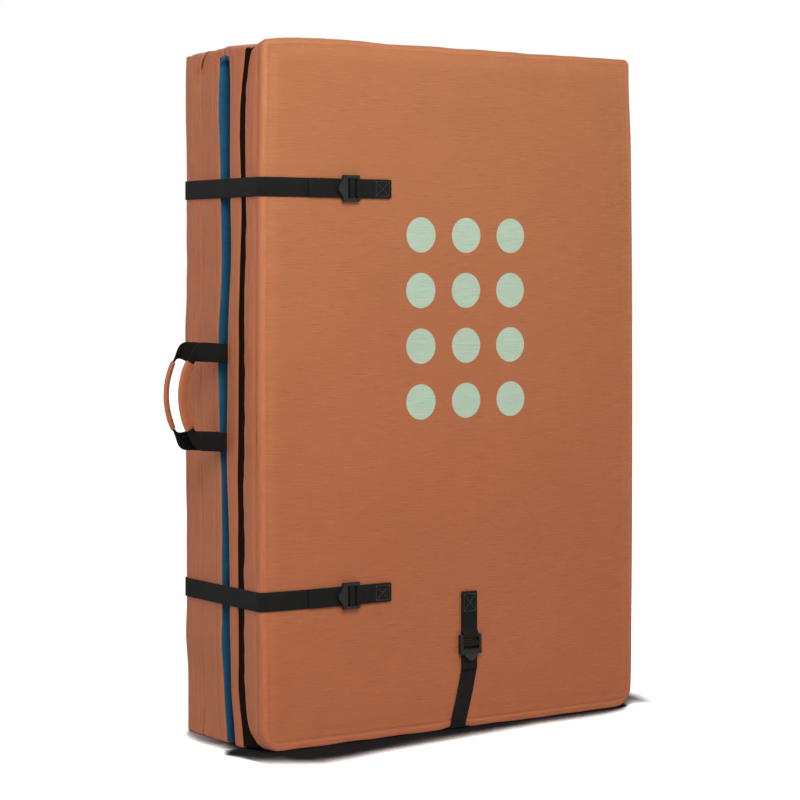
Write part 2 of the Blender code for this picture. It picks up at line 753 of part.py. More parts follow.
def handle_line(reach):
    """Middle line (x, z) of a handle, from its upper sewn end to its lower one, and its widths."""
    bow_radius = ((GRIP_LENGTH / 2) ** 2 + GRIP_BOW ** 2) / (2 * GRIP_BOW)
    bow_turn = math.asin(GRIP_LENGTH / 2 / bow_radius)
    rise = (HANDLE_ARMS - GRIP_LENGTH) / 2
    corner_radius = rise / (1 - math.sin(bow_turn))
    middle = reach - GRIP_WIDTH / 2
    end_x = -middle + GRIP_BOW
    corner_x = end_x + corner_radius * math.cos(bow_turn)
    corner_z = HANDLE_ARMS / 2 - corner_radius
    half_turn = math.pi
    turn_arc = arc((corner_x, corner_z), corner_radius, half_turn / 2, half_turn - bow_turn,
                   TURN_STEPS)
    sleeve_arc = arc((-middle + bow_radius, 0), bow_radius, half_turn - bow_turn,
                     half_turn + bow_turn, GRIP_STEPS)
    arm = [(HANDLE_SEWN, HANDLE_ARMS / 2), (corner_x / 2, HANDLE_ARMS / 2)]
    upper = arm + turn_arc
    lower = [(x, -z) for x, z in reversed(upper)]
    return upper, sleeve_arc, lower


def handle_places(reach, side, twist):
    """Points, width directions and widths along a handle's webbing.

    It rises a little outwards, and folds narrow and twists over its turns.
    """
    upper, sleeve_arc, lower = handle_line(reach)
    line = upper + sleeve_arc[1:-1] + lower
    first = len(upper) - 1
    last = first + GRIP_STEPS
    origin_x = -side_reach(HANDLE_Z)
    rise = HANDLE_RISE / reach
    points = [Vector((origin_x + x, side * HANDLE_Y, HANDLE_Z + z - x * rise)) for x, z in line]
    acrosses = []
    widths = []
    for i, point in enumerate(points):
        along = (points[min(i + 1, len(points) - 1)] - points[max(i - 1, 0)]).normalized()
        into = max(0, min(i - first, last - i) + TURN_STEPS)
        share = min(1, into / (TURN_STEPS + 1))
        turn = Matrix.Rotation(-twist * share, 3, along)
        acrosses.append(turn @ along.cross(Y_AXIS))
        widths.append(WEBBING_WIDTH + (GRIP_WEBBING_WIDTH - WEBBING_WIDTH) * share)
    return points, acrosses, widths, first, last


def handle_webbing(reach, side, twist):
    points, acrosses, widths, _, _ = handle_places(reach, side, twist)
    return band(points, acrosses, widths)


def eight_sided(half, deep, cut, rise):
    """Ring of a flat section, cut back at its corners; its sides reach up to a rise."""
    return [(half, -rise), (half, rise), (half - cut, deep), (-half + cut, deep),
            (-half, rise), (-half, -rise), (-half + cut, -deep), (half - cut, -deep)]


def handle_grip(reach, side, twist):
    """Sleeve of cover cloth round the middle of the handle's webbing."""
    points, acrosses, widths, first, last = handle_places(reach, side, twist)
    outer_rings = []
    inner_rings = []
    for i in range(first + 1, last):
        along = (points[i + 1] - points[i - 1]).normalized()
        across = acrosses[i].normalized()
        up = along.cross(across).normalized()
        half = GRIP_WIDTH / 2
        deep = GRIP_DEEP / 2
        edge = deep / 2
        outer = eight_sided(half, deep, edge, edge)
        bore = eight_sided(widths[i] / 2 + FIT, HALF_WEB + FIT, 0, (HALF_WEB + FIT) / 2)
        outer_rings.append([points[i] + across * a + up * b for a, b in outer])
        inner_rings.append([points[i] + across * a + up * b for a, b in bore])
    return tube_mesh(outer_rings + inner_rings[::-1], closed=True)


# Harness on the back face

def harness_patch():
    """Reinforcing patch that the shoulder straps are sewn through."""
    low = PLATEAU_Y + FIT
    tall = PATCH_HEIGHT / 2
    ring = eight_sided(PATCH_WIDTH / 2, tall, PATCH_CORNER, tall - PATCH_CORNER)
    ends = [[(x, y, PATCH_Z + z) for x, z in ring] for y in (low, low + COVER)]
    return tube_mesh(ends)


def shoulder_place(share, side):
    """Middle of a shoulder strap at a share of its length from its sewn top."""
    x = side * (SHOULDER_TOP_X + (SHOULDER_LOW_X - SHOULDER_TOP_X) * share)
    z = SHOULDER_TOP_Z + (SHOULDER_LOW_Z - SHOULDER_TOP_Z) * share
    start = FIT + COVER + FIT + SHOULDER_DEEP / 2
    end = SHOULDER_BUCKLE_STAND - ANCHOR_N + WRAP + TAB_STACK / 2
    lift = SHOULDER_LIFT * math.sin(math.pi * share) ** SHOULDER_LIFT_POWER
    rise = start + (end - start) * share + lift * (1 - share * SHOULDER_FADE_SHARE)
    return Vector((x, PLATEAU_Y + rise, z))


def shoulder_strap(side):
    """Padded strap: flat and sewn at its top, standing off the back, narrower at its ends."""
    sections = []
    for step in range(SHOULDER_STEPS + 1):
        share = step / SHOULDER_STEPS
        point = shoulder_place(share, side)
        ahead = shoulder_place(min(1, share + 1 / SHOULDER_STEPS), side)
        behind = shoulder_place(max(0, share - 1 / SHOULDER_STEPS), side)
        along = (ahead - behind).normalized()
        if step in (0, SHOULDER_STEPS):
            along = -Z_AXIS
        across = X_AXIS
        up = across.cross(along).normalized()
        full = math.sin(math.pi * share) ** SHOULDER_FULL_POWER
        half = (SHOULDER_END_WIDTH + (SHOULDER_WIDTH - SHOULDER_END_WIDTH) * full) / 2
        deep = SHOULDER_DEEP / 2
        edge = deep / 2
        shoulder = deep - edge / 2
        ring = [(half, 0), (half - edge, shoulder), (half / 2, deep), (-half / 2, deep),
                (-half + edge, shoulder), (-half, 0), (-half + edge, -shoulder),
                (-half / 2, -deep), (half / 2, -deep), (half - edge, -shoulder)]
        sections.append([point + across * a + up * b for a, b in ring])
    return tube_mesh(sections)


def shoulder_bar(side):
    """Place of the anchor bar at a shoulder strap's lower end."""
    end = shoulder_place(1, side)
    return Vector((end.x, PLATEAU_Y + SHOULDER_BUCKLE_STAND, end.z - SHOULDER_TAB))


def shoulder_tab(side):
    """Webbing sewn into the strap's lower end that holds the buckle's anchor bar."""
    at = shoulder_bar(side)
    length = SHOULDER_TAB - FIT
    points = [(at.x, at.y + n - ANCHOR_N, at.z - u) for u, n in loop_path(length, length)]
    return band(points, X_AXIS, WEBBING_WIDTH)


def shoulder_webbing(side):
    """Adjusting webbing: sewn low on the back, up to the buckle, through it and hanging down."""
    at = shoulder_bar(side)
    low_y = PLATEAU_Y + LOAD_N
    load_y = at.y + LOAD_N - ANCHOR_N
    anchor_x = side * LOWER_ANCHOR_X
    straight_z = at.z - FRONT_BAR_AT - FRONT_BAR
    foot_z = LOWER_ANCHOR_Z + LOWER_SEWN
    points = [(anchor_x, low_y, LOWER_ANCHOR_Z), (anchor_x, low_y, foot_z)]
    for share in EASE_SHARES:
        points.append((anchor_x + (at.x - anchor_x) * share,
                       low_y + (load_y - low_y) * share,
                       foot_z + (straight_z - foot_z) * share))
    points.append((at.x, load_y, straight_z))
    lean = -(at.x - anchor_x) / (straight_z - foot_z)
    for u, n in threaded(SHOULDER_TAIL):
        hang = max(0, u - FRONT_BAR_AT - FRONT_BAR)
        points.append((at.x + hang * lean, at.y + n - ANCHOR_N, at.z - u))
    return band(points, X_AXIS, WEBBING_WIDTH)


def waist_anchor(side):
    """Sewn root of a waist-belt wing."""
    near = side * (WAIST_HINGE_X - WAIST_SEWN)
    far = side * (WAIST_HINGE_X - FIT)
    y = PLATEAU_Y + WRAP
    return band([(near, y, WAIST_Z), (far, y, WAIST_Z)], Z_AXIS, WAIST_WIDTH)


def waist_wing(side):
    """Free webbing of the waist belt, sewn back on itself round its buckle's bar."""
    bar_x = WAIST_HINGE_X + WAIST_WING
    path = loop_path(WAIST_WING - FIT, WAIST_FOLD_BACK)
    rises = [0] + [WAIST_RISE] * (len(path) - 1)
    points = [(side * (bar_x + u), PLATEAU_Y + n + rise, WAIST_Z)
              for (u, n), rise in zip(path, rises)]
    return band(points, Z_AXIS, WAIST_WIDTH)


def spine_strip():
    """Cloth strip along the spine that joins the two landing seams, folded into the gap."""
    y = SEAM_Y - FIT - COVER / 2
    far = PAD_WIDTH / 2 - WALL_LIP_DRAW - COVER
    path = [(far - SPINE_SEWN, y), (far - y, y)]
    path += arc((far - y, 0), y, math.pi / 2, -math.pi / 2, LOOP_STEPS + 1)[1:-1]
    path += [(far - y, -y), (far - SPINE_SEWN, -y)]
    middle = PAD_HEIGHT / 2
    tall = PAD_HEIGHT - 2 * SPINE_END
    return band([(x, y, middle) for x, y in path], Z_AXIS, tall, COVER)


def build_half(name, side, parent):
    """Covers and foam of one half of the pad."""
    add(name + "_ground_panel", ground_panel(side), parent, CANVAS)
    add(name + "_sidewall", sidewall(side), parent, CANVAS)
    add(name + "_hook_band", hook_band(side), parent, WEBBING_BLACK, HOOK_ROUGH)
    add(name + "_landing_panel", landing_panel(side), parent, LANDING_BLUE)
    add(name + "_top_foam", top_foam(side), parent, CLOSED_FOAM, FOAM_ROUGH)
    add(name + "_core_foam", core_foam(side), parent, OPEN_FOAM, FOAM_ROUGH)
    add(name + "_base_foam", base_foam(side), parent, CLOSED_FOAM, FOAM_ROUGH)


def build_side_strap(name, z, back, front):
    """One closing strap over the open side, its buckle and the tab that holds it."""
    turn_x = -(side_reach(z) - LID_EDGE)
    turn_y = FACE_Y - LID_EDGE
    side_pivot = empty(name + "_side_pivot", (turn_x, turn_y, z), back)
    front_pivot = empty(name + "_front_pivot", (turn_x, -turn_y, z), side_pivot)
    bar_place = Vector((SIDE_BUCKLE_X, -(PLATEAU_Y + ANCHOR_N), z))
    bar_pivot = empty(name + "_buckle_pivot", bar_place, front)
    add(name + "_strap_back", strap_back(z), back, WEBBING_BLACK, WEBBING_ROUGH)
    add(name + "_strap_side", strap_side(z), side_pivot, WEBBING_BLACK, WEBBING_ROUGH)
    add(name + "_strap_front", strap_front(z), front_pivot, WEBBING_BLACK, WEBBING_ROUGH)
    add(name + "_buckle_tab", side_tab(z), front, WEBBING_BLACK, WEBBING_ROUGH)
    buckle = placed(ladder_lock(), bar_place, -X_AXIS, -Y_AXIS)
    add(name + "_buckle", buckle, bar_pivot, PLASTIC_BLACK, PLASTIC_ROUGH)


def build_bottom_strap(back, front):
    """The strap that runs under the pad's standing end."""
    low = STRAP_CHANNEL + LID_EDGE
    pivot = empty("bottom_front_pivot", (BOTTOM_STRAP_X, -(FACE_Y - LID_EDGE), low), back)
    bar_place = Vector((BOTTOM_BUCKLE_X, -(PLATEAU_Y + ANCHOR_N), BOTTOM_BUCKLE_Z))
    bar_pivot = empty("bottom_buckle_pivot", bar_place, front)
    add("bottom_strap_under", bottom_strap_under(), back, WEBBING_BLACK, WEBBING_ROUGH)
    add("bottom_strap_front", bottom_strap_front(), pivot, WEBBING_BLACK, WEBBING_ROUGH)
    add("bottom_buckle_tab", bottom_tab(), front, WEBBING_BLACK, WEBBING_ROUGH)
    buckle = placed(ladder_lock(), bar_place, -Z_AXIS, -Y_AXIS)
    add("bottom_buckle", buckle, bar_pivot, PLASTIC_BLACK, PLASTIC_ROUGH)


def build_handle(name, side, reach, twist, half):
    seam = (-side_reach(HANDLE_Z) + HANDLE_SEWN, side * HANDLE_Y, HANDLE_Z)
    pivot = empty(name + "_handle_pivot", seam, half)
    add(name + "_handle_webbing", handle_webbing(reach, side, twist), pivot, WEBBING_BLACK, WEBBING_ROUGH)
    add(name + "_handle_grip", handle_grip(reach, side, twist), pivot, CANVAS)


def build_harness(back):
    """Shoulder straps, their adjusters and the waist belt."""
    add("harness_patch", harness_patch(), back, WEBBING_BLACK, WEBBING_ROUGH)
    for name, side in (("left", -1), ("right", 1)):
        at = shoulder_bar(side)
        pivot = empty(name + "_adjuster_pivot", at, back)
        add(name + "_shoulder_strap", shoulder_strap(side), back, WEBBING_BLACK, CLOTH_ROUGH)
        add(name + "_shoulder_tab", shoulder_tab(side), back, WEBBING_BLACK, WEBBING_ROUGH)
        add(name + "_shoulder_webbing", shoulder_webbing(side), back, WEBBING_BLACK, WEBBING_ROUGH)
        adjuster = placed(ladder_lock(), at, -Z_AXIS, Y_AXIS)
        add(name + "_adjuster", adjuster, pivot, PLASTIC_BLACK, PLASTIC_ROUGH)
        hinge = (side * WAIST_HINGE_X, PLATEAU_Y + WRAP + HALF_WEB, WAIST_Z)
        wing = empty(name + "_waist_pivot", hinge, back)
        bar_x = side * (WAIST_HINGE_X + WAIST_WING)
        bar_place = Vector((bar_x, PLATEAU_Y + ANCHOR_N + WAIST_RISE, WAIST_Z))
        release = placed(release_socket() if side < 0 else release_prongs(),
                         bar_place, side * X_AXIS, Y_AXIS)
        add(name + "_waist_anchor", waist_anchor(side), back, WEBBING_BLACK, WEBBING_ROUGH)
        add(name + "_waist_webbing", waist_wing(side), wing, WEBBING_BLACK, WEBBING_ROUGH)
        add(name + "_waist_buckle", release, wing, PLASTIC_BLACK, PLASTIC_ROUGH)


def build():
    clear_scene()
    back = empty("back_half", (0, 0, 0))
    front = empty("front_half", (HINGE_X, 0, 0), back)
    build_half("back", 1, back)
    build_half("front", -1, front)
    add("spine_strip", spine_strip(), back, CANVAS)
    build_side_strap("upper", UPPER_STRAP_Z, back, front)
    build_side_strap("lower", LOWER_STRAP_Z, back, front)
    build_bottom_strap(back, front)
    build_handle("back", 1, HANDLE_REACH, BACK_GRIP_TWIST, back)
    build_handle("front", -1, HANDLE_REACH - HANDLE_TAKE_UP, FRONT_GRIP_TWIST, front)
    build_harness(back)


build()
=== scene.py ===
import math

import bmesh
import bpy
import numpy as np
from mathutils import Matrix, Vector, noise


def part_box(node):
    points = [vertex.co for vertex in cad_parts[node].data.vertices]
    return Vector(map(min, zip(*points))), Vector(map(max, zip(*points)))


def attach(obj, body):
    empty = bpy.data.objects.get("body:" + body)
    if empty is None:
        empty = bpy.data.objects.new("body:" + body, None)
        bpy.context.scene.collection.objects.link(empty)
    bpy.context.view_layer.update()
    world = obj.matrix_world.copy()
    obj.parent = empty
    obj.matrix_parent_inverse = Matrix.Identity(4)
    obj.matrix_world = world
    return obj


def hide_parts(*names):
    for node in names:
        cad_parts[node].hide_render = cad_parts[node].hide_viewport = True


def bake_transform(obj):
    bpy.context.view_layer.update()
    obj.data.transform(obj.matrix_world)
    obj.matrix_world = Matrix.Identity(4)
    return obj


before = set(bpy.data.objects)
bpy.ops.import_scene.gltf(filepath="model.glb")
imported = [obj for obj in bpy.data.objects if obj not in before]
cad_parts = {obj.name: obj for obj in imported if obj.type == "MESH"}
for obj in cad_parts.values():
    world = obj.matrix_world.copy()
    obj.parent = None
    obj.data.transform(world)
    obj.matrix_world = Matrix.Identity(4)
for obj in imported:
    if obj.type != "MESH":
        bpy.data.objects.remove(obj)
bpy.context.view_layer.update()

# The pad, read from the frame
FRONT_LOW, FRONT_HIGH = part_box("front_ground_panel")
BACK_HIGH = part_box("back_ground_panel")[1]
PAD_X = (FRONT_LOW.x + FRONT_HIGH.x) / 2
PAD_Y = (FRONT_LOW.y + BACK_HIGH.y) / 2
PAD_HALF = (FRONT_HIGH.x - FRONT_LOW.x) / 2
PAD_HEIGHT = FRONT_HIGH.z
PLATEAU = BACK_HIGH.y - PAD_Y
LIP = PAD_Y - FRONT_HIGH.y
SEAM = PAD_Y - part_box("front_sidewall")[1].y
ORIGIN = Vector((PAD_X, PAD_Y, 0))
BACK, FRONT = 1, -1

# Covers
GROUND_CROWN = 0.0045
FACE = PLATEAU - GROUND_CROWN
CROWN_REACH = 0.082
LANDING_CROWN = 0.0112
LANDING_REACH = 0.140
CORNER_DRAW = 0.004
TOP_DRAW = {BACK: 0.0055, FRONT: 0.001}
TOP_RISE = {BACK: 0.0, FRONT: 0.0022}
TOP_RISE_LEFT = {BACK: 0.0, FRONT: 0.0026}
TOP_RISE_AT = (-0.19, 0.085)
TOP_REACH = 0.05
SAG_REACH = 0.028
SAG_IN_FOLD = 0.035
HANDLE_LEAN = 0.0045
EDGE = 0.007
SQUARE = 0.0006
CREASE = 0.0007
CREASE_WIDTH = 0.0011
CREASE_WANDER = 0.0022
# How much lighter the creases' ridges are painted: a painted highlight
CREASE_HIGHLIGHT = 1.3
SPINE_TUCK = 0.0016
SPINE_INSET = 0.0025
SPINE_SEWN = 0.012
SPINE_ENDS = 0.045
SKIRT_CREASES = {BACK: (0.063, 0.076), FRONT: (0.064, 0.083)}
WALL_CREASES = {BACK: (0.0245, 0.0435), FRONT: (0.0265,)}
COVER = 0.0013
LID_RADII = {BACK: (0.003, 0.004), FRONT: (0.009, 0.030)}
WALL_RADII = (0.004, 0.004)
LIP_BACK = {FRONT: ((0.026, 0.011, 0.009), (0.035, 0.004, 0.027)),
            BACK: ((-0.024, 0.009, 0.0085), (0.002, 0.004, 0.020))}
BAND_INSET = 0.0017
WALL_INSET = 0.0042
BAND_BEHIND = 0.034
BAND_SHOWN = {FRONT: 0.0125, BACK: 0.0}
BACK_OVERLAP = 0.0010
# The hook band pushed out under the back lid's top corner: a real band, shown as a dark slit that
# stands for the lip's shadow
SLIT = 0.0024
SLIT_OUT = 0.0026
CHANNEL = 0.0021
CHANNEL_HALF = 0.0145
CHANNEL_RAMP = 0.012
CHANNEL_TOP = (0.004, 0.018)
FREE_RAMP = 0.016
# Where along the depth, or along the rim from a corner, a form begins and ends
SAG_DEPTHS = (0.070, 0.090)
SLIT_WAY = (0.030, 0.040)
CORNER_PUFF = 0.0034
CORNER_PUFF_WAY = (0.026, 0.046)
MEET_WAY = (0.0175, 0.0205)
LANDING_FOLLOWS = (0.020, 0.110)
BAND_ROUNDS = (0.004, 0.032)
SPINE_NEAR = (0.035, 0.012)
SPINE_CALM = 0.7

# Cloth lines near an edge: distances in from where the face begins, then an even step
NEAR_LINES = (0, 0.0005, 0.001, 0.0015, 0.0021, 0.0028, 0.0038, 0.0052, 0.007, 0.0095, 0.013,
              0.0175, 0.023, 0.029)
CLOTH_STEP = 0.006
FOAM_CUTS = (0.014, 0.028, 0.042, 0.056, 0.070, 0.090, 0.115)
FOAM_ROOM = 0.0020
RING_STEP = 0.0020
WALL_RING_STEP = 0.0015
EDGE_STEPS = 6

# Slow waves and creases of the cloth: (height, waves one way, waves the other, added to the seed)
TOP_WAVES = ((0.0011, 13, 3.0, 0), (0.0005, 34, 3.0, 5))
FACE_WAVES = ((0.0010, 6, 6, 0), (0.0006, 15, 13, 5))
SKIRT_WAVES = ((0.0007, 8, 3.0, 0), (0.0007, 26, 5, 3))
LIP_WAVES = ((1, 17, 1, 0), (0.7, 52, 1, 1))
WALL_WAVES = ((0.0006, 40, 2.2, 0), (0.0006, 11, 3, 4))
LANDING_WAVES = ((0.0005, 5, 5, 0),)
# Height and reach of the puckers at a seam, and their waves square to it and along it
FACE_PUCKERS = (0.0020, 0.026, 14, 42)
LANDING_PUCKERS = (0.0014, 0.03, 12, 40)

# Seams, by their distance from the cover's outside or from the landing side's seam
FACE_SEAM = 0.0118
FACE_RIDGE = 0.0140
WELT = 0.0006
HEM_AT = 0.80
WALL_SEAM = 0.0078
WALL_STITCHES = 0.0060
SKIRT_LIP_WAVE = {BACK: 0.0008, FRONT: 0.0024}
WALL_TUCK = {BACK: 0.0012, FRONT: 0.0030}
WALL_EDGE = 0.0030
LANDING_EDGE = 0.0014
BAND_RINGS = (0.006, 0.014, 0.020, 0.026, 0.032, 0.038)
BAND_THICK = 0.0012
LANDING_THICK = 0.0010

# Webbing, buckles' threading and where the straps lie
WEBBING = 0.0014
WEBBING_WIDTH = 0.025
FIT = 0.0003
SEAT = 0.0006
HALF_WEB = WEBBING / 2
WRAP = FIT + HALF_WEB
ANCHOR_BAR = 0.002
ANCHOR_WRAP = ANCHOR_BAR + WRAP
ANCHOR_N = WRAP + ANCHOR_WRAP
TAB_STACK = WEBBING + FIT
LOAD_N = SEAT + HALF_WEB
TAIL_N = LOAD_N + TAB_STACK
GRIP_BAR_AT = 0.0075
GRIP_BAR = 0.005
GRIP_BAR_DEEP = 0.003
GRIP_BAR_LOW = LOAD_N + WRAP
FRONT_BAR_AT = 0.017
FRONT_BAR = 0.007
WEBBING_RIB = 0.0019
WEBBING_ROW = 0.0023
BUCKLE_EDGE = 0.00045
SELVAGE = 0.0005
CORNER_STEPS = 10
THREADED_STEPS = 6
LOOP_STEPS = 16
UPPER_STRAP_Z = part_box("upper_buckle")[0].z / 2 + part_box("upper_buckle")[1].z / 2
LOWER_STRAP_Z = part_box("lower_buckle")[0].z / 2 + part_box("lower_buckle")[1].z / 2
SIDE_BUCKLE_X = -0.164
SIDE_TAB = 0.053
SIDE_TAIL = 0.075
BACK_SEWN = 0.105
BOTTOM_STRAP_X = 0.002
BOTTOM_BUCKLE_X = 0.016
BOTTOM_BUCKLE_Z = 0.125
BOTTOM_TAB = 0.060
BOTTOM_TAIL = 0.046
BOTTOM_SEWN = 0.090
CHANNEL_LOW = WEBBING + 2 * FIT
TAB_FALL = math.radians(120)

# Handles
HANDLE_Z = 0.45097
HANDLE_ARMS = 0.1156
HANDLE_REACH = {BACK: 0.0865, FRONT: 0.0733}
HANDLE_TWIST = {BACK: math.radians(55), FRONT: math.radians(22)}
HANDLE_RISE = 0.005
HANDLE_SEWN = 0.0035
HANDLE_DEPTH = {BACK: SEAM - FIT - HALF_WEB - HANDLE_LEAN,
                FRONT: SEAM - FIT - HALF_WEB + HANDLE_LEAN}
GRIP_LENGTH = 0.098
GRIP_BOW = 0.014
GRIP_WIDTH = 0.018
GRIP_DEEP = 0.0065
GRIP_WEB = 0.0135

# Harness
PATCH = (0.230, 0.085)
PATCH_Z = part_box("harness_patch")[0].z + PATCH[1] / 2
SHOULDER_TOP_X = 0.060
SHOULDER_LOW_X = 0.098
SHOULDER_LOW_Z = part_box("left_shoulder_strap")[0].z
SHOULDER_WIDTH = 0.064
SHOULDER_END = 0.040
SHOULDER_DEEP = 0.011
SHOULDER_LIFT = 0.026
SHOULDER_STAND = 0.014
SHOULDER_TAB = 0.016
SHOULDER_TAIL = 0.075
LOWER_ANCHOR = (0.140, 0.150)
LOWER_SEWN = 0.045
WAIST_Z = 0.285
WAIST_HINGE = 0.152
WAIST_SEWN = 0.040
WAIST_WIDTH = 0.038
WAIST_WING = 0.085
WAIST_FOLD = 0.035
WAIST_RISE = 0.0025
PATCH_CUT = 0.0145
PATCH_SEAM_CUT = 0.0135
# The patch's rings: (how far past its sewn outline, share of its thickness)
PATCH_RINGS = ((0.0, 0.0), (0.0, 0.7), (0.0004, 1.0), (0.006, 1.0), (0.0066, 0.8), (0.008, 0.8),
               (0.012, 0.85))
SHOULDER_STEPS = 60
SHOULDER_SIDES = 28
SHOULDER_ROUND = (0.55, 0.75)
SHOULDER_SEAM = 0.80
QUILT_ROWS = 9
RISE_STEPS = 24

# Colours, linear
CANVAS = (0.440, 0.134, 0.058, 1)
# Colour the ground face is multiplied by towards its top: a painted warm highlight
CANVAS_TOP_HIGHLIGHT = (1.04, 1.27, 1.19, 1)
CANVAS_GLOSS = (1.0, 0.75, 0.58, 1)
CANVAS_THREAD = (0.50, 0.19, 0.085, 1)
LANDING_BLUE = (0.0055, 0.100, 0.200, 1)
BLACK = (0.0075, 0.0070, 0.0066, 1)
BLACK_THREAD = (0.013, 0.0125, 0.012, 1)
MINT = (0.47, 0.60, 0.46, 1)


# How the stuffed cloth stands on the open side: (height, millimetres) pairs. Both lips' depth,
# how far the front band's start and the front lid's lip stand from their plain depth, and how far
# the back half's open side and the front half's other side bulge.
LIP_LINE = {BACK: ((0, -9), (0.02, -7.4), (0.046, -3.5), (0.083, -0.6), (0.15, 0), (0.27, 0.3),
                   (0.347, 1.2), (0.40, 4.5), (0.465, 6.5), (0.543, 6.3), (0.583, 3.8), (0.64, 1.2),
                   (0.70, 3), (0.76, 5.8), (0.80, 8), (0.823, 8.5), (0.855, 6.6), (0.88, 5),
                   (0.914, 4)),
            FRONT: ((0, 31), (0.02, 29.8), (0.033, 27.5), (0.059, 22.6), (0.083, 21.3),
                    (0.114, 21.3), (0.15, 20), (0.23, 21), (0.268, 20), (0.308, 18), (0.35, 15.5),
                    (0.40, 14.5), (0.465, 16.5), (0.543, 17.6), (0.583, 21), (0.625, 26),
                    (0.661, 25), (0.70, 22.8), (0.745, 20.5), (0.80, 19.2), (0.855, 18.6),
                    (0.878, 17.2), (0.914, 13.5))}
BAND_LINE = ((0, 10), (0.02, 7.5), (0.033, 5.5), (0.05, 1.5), (0.075, -2), (0.11, 0), (0.20, 0.6),
             (0.30, 1), (0.36, 1.2), (0.43, 3), (0.50, 3.5), (0.56, 3.4), (0.62, 6), (0.68, 9),
             (0.72, 8.8), (0.76, 5), (0.79, 2), (0.83, 3), (0.855, 7), (0.88, 11), (0.914, 16))
LID_LINE = ((0, 4), (0.033, 2.4), (0.10, 3.2), (0.145, 5), (0.23, 6.2), (0.30, 5.8), (0.36, 7.2),
            (0.43, 8.7), (0.47, 9), (0.55, 7.5), (0.60, 8.5), (0.64, 10.8), (0.70, 10.4),
            (0.745, 8.4), (0.79, 6.4), (0.822, 4.2), (0.836, 8), (0.850, 5.5), (0.864, 10.5),
            (0.88, 11), (0.914, 12.5))
BACK_BULGE = ((0, 0), (0.05, -0.5), (0.083, -1), (0.13, 2), (0.165, 0), (0.22, 0), (0.27, -1.2),
              (0.35, -0.7), (0.50, 0.5), (0.54, 1), (0.58, -0.8), (0.62, -1.8), (0.66, -0.6),
              (0.70, 0), (0.75, 0), (0.79, 0.7), (0.82, 2), (0.86, 3), (0.914, 3))
FRONT_BULGE = ((0, 1), (0.1, 1), (0.3, 0.5), (0.6, 0), (0.8, -0.5), (0.87, -3), (0.914, -3))
LIPS_MEET = {BACK: -0.0071, FRONT: 0.0045}
MEET_LAP = 0.0017
# How far the open side's top sags, by (depth, millimetres)
TOP_SAG = {BACK: ((0, 0.5), (0.012, 0.5), (0.035, 5), (0.057, 6.8), (0.072, 4.5), (0.084, 5),
                  (0.099, 5)),
           FRONT: ((0, 8), (0.03, 8.5), (0.045, 12), (0.068, 12.5), (0.078, 8.5), (0.086, 4.8),
                   (0.099, 3.5))}


X_AXIS, Y_AXIS, Z_AXIS = Vector((1, 0, 0)), Vector((0, 1, 0)), Vector((0, 0, 1))


# Small helpers

def placed(x, depth, z, side):
    """A point (x, depth, z) of one half, in the row frame."""
    return Vector((PAD_X + x, PAD_Y + side * depth, z))


def grain(x, y, z=0.0):
    """Smooth noise from -1 to 1."""
    return noise.noise(Vector((x, y, z)))


def ease(low, high, value):
    share = min(1.0, max(0.0, (value - low) / (high - low)))
    return share * share * (3 - 2 * share)


def along(table, height):
    """Value in metres from (height, millimetres) pairs, its turns eased."""
    heights, values = zip(*table)
    return sum(np.interp((height - 0.008, height, height + 0.008), heights, values)) / 3000


def face_crown(inset):
    """Crown of a ground face at an inset from one edge."""
    return smooth_crown((inset - EDGE) / (CROWN_REACH - EDGE))


def smooth_crown(at):
    """Crown of a face: 0 at its edge, 1 on its flat middle."""
    at = min(1.0, max(0.0, at))
    return 1 - (1 - at) ** 2.2


def hump(value, middle, width):
    """1 at the middle, falling off smoothly on both sides."""
    return math.exp(-((value - middle) / width) ** 2)


def fall(distance, reach):
    """1 at no distance, dying away over a reach."""
    return math.exp(-distance / reach)


def waves(table, x, y, seed):
    """Noise from rows of (height, times x, times y, added to the seed)."""
    return sum(high * grain(x * by_x, y * by_y, seed + more) for high, by_x, by_y, more in table)


def insets(x, z):
    """How far a point is in from the pad's nearer side and from its nearer end."""
    return PAD_HALF - abs(x), min(z, PAD_HEIGHT - z)


def heading(points, i):
    """Way along a line of points, at one of them."""
    return (points[min(i + 1, len(points) - 1)] - points[max(i - 1, 0)]).normalized()


def runs_along(points):
    """Length of a line of points up to each of them."""
    runs = [0.0]
    for here, ahead in zip(points, points[1:]):
        runs.append(runs[-1] + (ahead - here).length)
    return runs


def tube(rows, ring, uv=None, turned=False, ends=(), end_uv=None):
    """Faces of a row of rings, closed at some, and a cloth coordinate for each of their corners."""
    faces, uvs = [], []

    def add(corners, coordinate):
        faces.append(tuple(row * ring + part % ring for row, part in corners))
        if coordinate:
            uvs.extend(coordinate(row, part) for row, part in corners)

    for i in range(rows - 1):
        for k in range(ring):
            corners = [(i, k), (i, k + 1), (i + 1, k + 1), (i + 1, k)]
            add(corners[:1] + corners[:0:-1] if turned else corners, uv)
    for row in ends:
        corners = [(row, part) for part in range(ring)]
        add(corners[::-1] if (row == 0) != turned else corners, end_uv)
    return faces, uvs


def oval(count, half, deep, powers):
    """Ring of a padded section: flatter than an ellipse, with round ends."""
    ring = []
    for step in range(count):
        turn = 2 * math.pi * step / count
        c, s = math.cos(turn), math.sin(turn)
        ring.append((half * math.copysign(abs(c) ** powers[0], c),
                     deep * math.copysign(abs(s) ** powers[1], s)))
    return ring


